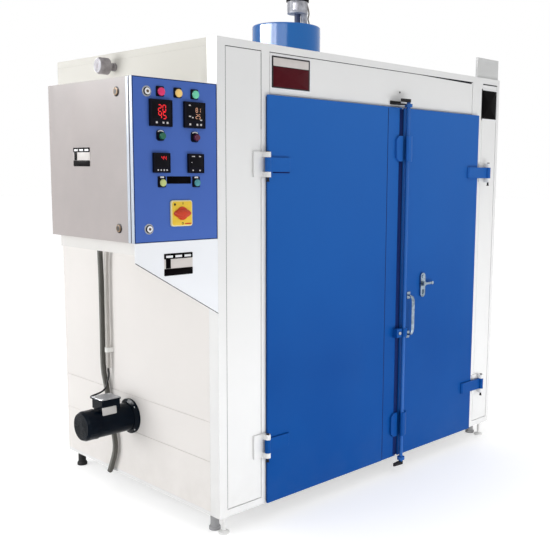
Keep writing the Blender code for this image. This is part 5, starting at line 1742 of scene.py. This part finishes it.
@dataclass
class SideMotor:
    """Small pieces of the side motor and the sensor's rings and nut."""

    bolt_circle: float = 0.0705
    bolt_sunk: float = 0.0098
    bolt_radius: float = 0.0065
    bolt_height: float = 0.005
    box_inset: float = 0.011
    lid_over: float = 0.006
    lid_corner: float = 0.006
    rim_over: float = 0.0012
    seat_share: tuple[float, float] = (0.94, 0.90)
    lid_screw: float = 0.004
    sleeve: float = 0.0042
    plate_rise: float = 0.72
    plate_width: float = 0.070
    plate_height: float = 0.034
    plate_shift: float = 0.012
    plate_clear: float = 0.0015
    sensor_ring: float = 0.0022
    sensor_shares: tuple[float, ...] = (0.28, 0.52, 0.74)
    nut_share: float = 0.52
    nut_height: float = 0.009
    grille_ring: float = 0.0030
    grille_shares: tuple[float, ...] = (0.25, 0.40, 0.55, 0.70)
    spokes: int = 6
    spoke_middle: float = 0.475
    spoke_length: float = 0.5
    spoke_width: float = 0.003

    def build(self) -> None:
        """Make every piece."""
        self.flange_bolts()
        self.shell()
        self.terminal_box()
        self.name_plate()
        self.fan_end()
        self.sensor()

    def flange_bolts(self) -> None:
        """Four bolt heads on the flange."""
        foot = Box.of("motor_flange").side(Facing.LEFT, -1).moved(out=self.bolt_sunk)
        skins = []
        for angle in math.pi / 4 + np.arange(4) * math.pi / 2:
            across, up = -self.bolt_circle * math.cos(angle), self.bolt_circle * math.sin(angle)
            skins.append(hex_head(foot.moved(across, up), self.bolt_radius, self.bolt_height))
        add_piece("flange_bolts", skins, STOOL_SILVER, "cabinet")

    def shell(self) -> None:
        """Smooth sleeve round the motor's body, with drawn-in ends."""
        body = Box.of("motor_body")
        axis = Box.of("motor_fan_cover").middle
        radius = body.size.y / 2 + self.sleeve
        inner, length = radius - 0.004, body.size.x
        profile = [(inner, 0.0), (radius, 0.002), (radius, length - 0.002), (inner, length)]
        foot = Facing.LEFT.at(body.high.x, axis.y, axis.z)
        add_piece("motor_sleeve", [ring(foot, profile, 64)], MOTOR_PAINT, "cabinet")

    def terminal_box(self) -> None:
        """Lid whose top is painted pale as a reflection, its rim, the box's seat on the body, and the lid's
        screws.
        """
        box = Box.of("motor_terminal_box")
        top = box.side(Facing.TOP)
        wide, deep, over, corner = box.size.x, box.size.y, self.lid_over, self.lid_corner
        lid = slab(top, wide + over, deep + over, corner, LID_EDGE)
        add_piece("terminal_box_lid", [lid], LID_PALE, "cabinet")
        over += self.rim_over
        rim = slab(top, wide + over, deep + over, corner, LID_RIM_EDGE)
        add_piece("terminal_box_rim", [rim], MOTOR_PAINT, "cabinet")
        across, up = self.seat_share
        seat = slab(box.side(Facing.TOP, -1), wide * across, deep * up, corner, BOX_SEAT_EDGE)
        add_piece("terminal_box_seat", [seat], MOTOR_PAINT, "cabinet")
        inset = self.box_inset
        skins = []
        for x in (box.low.x + inset, box.high.x - inset):
            for y in (box.low.y + inset, box.high.y - inset):
                skins.append(screw(Facing.TOP.at(x, y, box.high.z + 0.0002), self.lid_screw))
        add_piece("terminal_box_screws", skins, ZINC, "cabinet")

    def name_plate(self) -> None:
        """Bare plate that leans from the body against the foot of the terminal box.

        Its foot stands on the sleeve at the angle plate_rise above level; the plate leans in by the distance
        from there to the box, and rises by what its height leaves.
        """
        axis = Box.of("motor_fan_cover").middle
        box = Box.of("motor_terminal_box")
        reach = Box.of("motor_body").size.y / 2 + self.sleeve + self.plate_clear
        foot_y = axis.y - reach * math.cos(self.plate_rise)
        foot_z = axis.z + reach * math.sin(self.plate_rise)
        lean = box.low.y - self.plate_clear - foot_y
        up = np.array((0.0, lean, math.sqrt(self.plate_height ** 2 - lean ** 2))) / self.plate_height
        across = np.array((1.0, 0.0, 0.0))
        origin = np.array((box.middle.x - self.plate_shift, foot_y, foot_z))
        spot = Spot(origin + up * self.plate_height / 2, across, up, np.cross(across, up))
        plate = slab(spot, self.plate_width, self.plate_height, 0.003, NAME_PLATE_EDGE)
        add_piece("motor_name_plate", [plate], PLATE_METAL, "cabinet")

    def fan_end(self) -> None:
        """Rings and spokes of the grille in the fan cover's end, and a seam band round the cover."""
        box = Box.of("motor_fan_cover")
        radius = box.size.y / 2
        face = box.side(Facing.LEFT)
        skins = [band(face, (radius * share, radius * share + self.grille_ring), (-0.0004, 0.0012), 40)
                 for share in self.grille_shares]
        for angle in np.arange(self.spokes) * 2 * math.pi / self.spokes:
            place = face.tilted(angle).moved(across=radius * self.spoke_middle)
            skins.append(slab(place, radius * self.spoke_length, self.spoke_width, 0.0005, SPOKE_EDGE))
        add_piece("fan_grille", skins, GRILLE_GREY, "cabinet")
        seam = band(box.side(Facing.LEFT, -1), (radius - 0.002, radius + 0.0008), (0.001, 0.005), 48)
        add_piece("fan_cover_band", [seam], MOTOR_PAINT, "cabinet")

    def sensor(self) -> None:
        """Turned rings on the sensor head's face and a dark nut at its neck."""
        box = Box.of("sensor_head")
        r = box.size.z / 2
        skins = [band(box.side(Facing.LEFT), (r * share, r * share + self.sensor_ring), (-0.0003, 0.0004), 28)
                 for share in self.sensor_shares]
        add_piece("sensor_face_rings", skins, STOOL_SHADE, "cabinet")
        nut = hex_head(box.side(Facing.LEFT, -1).moved(out=0.002), r * self.nut_share, self.nut_height)
        add_piece("sensor_neck_nut", [nut], LOCK_GREY, "cabinet")


@dataclass
class RoofUnit:
    """Windows, neck and leg of the stool, the drum's shell and the roof motor's lead."""

    neck: float = 0.079
    neck_radii: tuple[float, float] = (0.010, 0.0156)
    leg_place: tuple[float, float] = (0.02346, -0.02448)
    leg_radii: tuple[float, float, float] = (0.0200, 0.0165, 0.0135)
    window_start: float = 20.0
    window_turn: float = 34.0
    window_share: tuple[float, float] = (0.22, 0.80)
    drum_over: float = 0.0012
    lead_radius: float = 0.0032

    def build(self) -> None:
        """Make every piece."""
        self.stool_windows()
        self.stool_neck()
        self.drum()
        self.lead()

    def stool_windows(self) -> None:
        """Four dark windows round the stool's body."""
        box = Box.of("bearing_stool")
        r = box.size.x / 2
        rise = box.size.z - self.neck
        levels = tuple(self.neck + rise * share for share in self.window_share)
        skins = []
        for turn in range(4):
            start = math.radians(self.window_start + 90 * turn)
            angles = (start, start + math.radians(self.window_turn))
            skins.append(arc_wall(box.side(Facing.TOP, -1), (r - 0.004, r + 0.0006), angles, levels, 10))
        add_piece("stool_windows", skins, STOOL_SHADE, "cabinet")

    def stool_neck(self) -> None:
        """Dark sleeve round the stool's neck as painted shade under the stool's body, and a pale leg beside
        it.
        """
        foot = Box.of("bearing_stool").side(Facing.TOP, -1)
        sleeve = band(foot, self.neck_radii, (0.0002, self.neck - 0.0004), 28)
        add_piece("stool_neck_sleeve", [sleeve], NECK_SHADE, "cabinet")
        flange, post, top = self.leg_radii
        profile = [(0, 0.0002), (flange, 0.0002), (flange, 0.008), (post, 0.010), (post, self.neck - 0.010),
                   (top, self.neck + 0.001), (0, self.neck + 0.001)]
        add_piece("stool_leg", [revolve(foot.moved(*self.leg_place), profile, 28)], STOOL_GREY, "cabinet")

    def drum(self) -> None:
        """Smooth shell round the drum with a rolled rim."""
        box = Box.of("blower_drum")
        r, rise = box.size.x / 2 + self.drum_over, box.size.z
        profile = [(r - 0.004, 0.0005), (r, 0.002), (r, rise - 0.006), (r - 0.0006, rise - 0.002),
                   (r - 0.003, rise + 0.0008), (r - 0.010, rise + 0.0010), (r - 0.012, rise - 0.001)]
        add_piece("drum_shell", [ring(box.side(Facing.TOP, -1), profile, 128)], DRUM_BLUE, "cabinet")

    def lead(self) -> None:
        """Brown lead from the roof motor's foot to the drum's top, fixed at both ends."""
        motor = Box.of("roof_motor_body")
        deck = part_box("bearing_stool")[0].z
        stool = deck + self.neck
        radius = motor.size.x / 2
        x, y = motor.middle.x + radius * 0.80, motor.middle.y - radius * 0.35
        knots = [(x - 0.018, y + 0.010, motor.low.z + 0.016), (x + 0.002, y + 0.002, motor.low.z - 0.004),
                 (x + 0.012, y - 0.004, stool + 0.010), (x + 0.004, y - 0.006, stool - 0.020),
                 (x + 0.012, y - 0.006, deck + 0.030), (x + 0.004, y - 0.004, deck - 0.004)]
        path = smooth_path(knots, 0.003)
        lead = sweep(path, np.full(len(path), self.lead_radius), 10)
        add_piece("roof_motor_lead", [lead], LEAD_BROWN, "cabinet")


# Studio

@dataclass(frozen=True)
class SoftBox:
    """A lamp with four corners: its width and height in metres, its power in watts, and what it lights."""

    name: str
    place: Point
    target: Point
    size: tuple[float, float]
    power: float
    lights_colour: bool = True
    shows_in_gloss: bool = True

    def build(self) -> None:
        """Stand the lamp at its place and point it at its target."""
        data = bpy.data.lights.new(self.name, "AREA")
        data.shape = "RECTANGLE"
        data.size, data.size_y = self.size
        data.energy = self.power
        lamp = bpy.data.objects.new(self.name, data)
        bpy.context.scene.collection.objects.link(lamp)
        away = np.array(self.place) - np.array(self.target)
        away /= np.linalg.norm(away)
        right = np.cross((0.0, 0.0, 1.0), away)
        right /= np.linalg.norm(right)
        turn = Matrix((right, np.cross(away, right), away)).transposed().to_4x4()
        lamp.matrix_world = Matrix.Translation(self.place) @ turn
        lamp.visible_diffuse = self.lights_colour
        lamp.visible_glossy = self.shows_in_gloss


DRUM_AIM = (0.1, 0.0, 2.1)
LIGHTS = (SoftBox("key_light", (0.4, -2.4, 0.15), (0.4, -0.6, 0.15), (3.8, 0.4), 31.0, shows_in_gloss=False),
          SoftBox("side_light", (-4.3, 1.9, 1.2), (-0.8, 0.0, 0.8), (3.0, 2.0), 60.0),
          SoftBox("drum_light", (-4.3, 2.3, 3.35), DRUM_AIM, (4.2, 1.5), 760.0, lights_colour=False),
          SoftBox("drum_glow", (-4.5, -0.35, 3.4), DRUM_AIM, (1.5, 1.5), 110.0, lights_colour=False),
          SoftBox("drum_haze", (-3.9, -2.2, 3.4), DRUM_AIM, (3.4, 1.5), 75.0, lights_colour=False))


def seen(tree: Tree) -> bpy.types.NodeSocket:
    """1 where the camera, a reflection or a see-through surface shows the thing, 0 where it only lights."""
    path = tree.node("ShaderNodeLightPath").outputs
    shown = tree.math("MAXIMUM", path["Is Camera Ray"], path["Is Glossy Ray"])
    return tree.math("MAXIMUM", shown, path["Is Transmission Ray"])


@dataclass
class Studio:
    """Plain floor, soft light and the camera that the photograph was taken with."""

    place: Point = (-2.8008, -3.12595, 1.4903)
    yaw: float = 0.8054
    pitch: float = -0.1295
    roll: float = 0.0107
    lens: float = 53.98
    shift: tuple[float, float] = (-0.10, 0.0091)
    floor_reach: float = 40.0
    floor_tone: float = 0.80
    floor_glow: float = 0.45
    world_light: float = 0.70

    def build(self) -> None:
        """Make the camera, the floor, the world and the lamps."""
        self.camera()
        self.floor()
        self.world()
        for light in LIGHTS:
            light.build()
        bpy.context.scene.view_settings.view_transform = "Standard"

    def camera(self) -> None:
        """Camera from its place, turns and lens.

        Level = (cos yaw, -sin yaw, 0) and ahead = cos pitch * (sin yaw, cos yaw, 0) + (0, 0, sin pitch);
        right and up are level and its rise turned by roll.
        """
        level = np.array((math.cos(self.yaw), -math.sin(self.yaw), 0.0))
        heading = np.array((math.sin(self.yaw), math.cos(self.yaw), 0.0))
        ahead = math.cos(self.pitch) * heading + np.array((0.0, 0.0, math.sin(self.pitch)))
        rise = np.cross(level, ahead)
        right = math.cos(self.roll) * level + math.sin(self.roll) * rise
        up = math.cos(self.roll) * rise - math.sin(self.roll) * level
        data = bpy.data.cameras.new("photo_camera")
        data.lens = self.lens
        data.sensor_width = 36.0
        data.shift_x, data.shift_y = self.shift
        camera = bpy.data.objects.new("photo_camera", data)
        bpy.context.scene.collection.objects.link(camera)
        turn = Matrix((right, up, -ahead)).transposed().to_4x4()
        camera.matrix_world = Matrix.Translation(self.place) @ turn
        bpy.context.scene.camera = camera

    def floor(self) -> None:
        """Pale floor that carries the machine's shadow and stays near white for the camera."""
        mesh = bpy.data.meshes.new("floor")
        reach = self.floor_reach
        corners = [(-reach, -reach, 0), (reach, -reach, 0), (reach, reach, 0), (-reach, reach, 0)]
        mesh.from_pydata(corners, [], [(0, 1, 2, 3)])
        floor = bpy.data.objects.new("floor", mesh)
        bpy.context.scene.collection.objects.link(floor)
        made = bpy.data.materials.new("pale_floor")
        made.use_nodes = True
        tree = Tree(made.node_tree)
        shader = made.node_tree.nodes["Principled BSDF"].inputs
        shader["Base Color"].default_value = rgba((self.floor_tone,) * 3)
        shader["Roughness"].default_value = 0.8
        shader["Emission Color"].default_value = (1, 1, 1, 1)
        tree.feed(shader["Emission Strength"], tree.math("MULTIPLY", seen(tree), self.floor_glow))
        mesh.materials.append(made)

    def world(self) -> None:
        """Even pale surroundings, white where the camera sees them."""
        world = bpy.data.worlds.new("studio")
        bpy.context.scene.world = world
        world.use_nodes = True
        tree = Tree(world.node_tree)
        back = world.node_tree.nodes["Background"].inputs
        back["Color"].default_value = (1, 1, 1, 1)
        tree.feed(back["Strength"], tree.ramp(seen(tree), 0.0, 1.0, self.world_light, 1.0))


def main() -> None:
    """Build the studio, dress the frame and add every piece."""
    logging.basicConfig(level=logging.INFO, format="%(message)s")
    parts = (Studio, Dressing, Feet, ControlFront, DoorHardware, Plates, SideMotor, RoofUnit)
    for part in parts:
        part().build()
        LOG.info("%s is done", part.__name__)


if __name__ == "__main__":
    main()
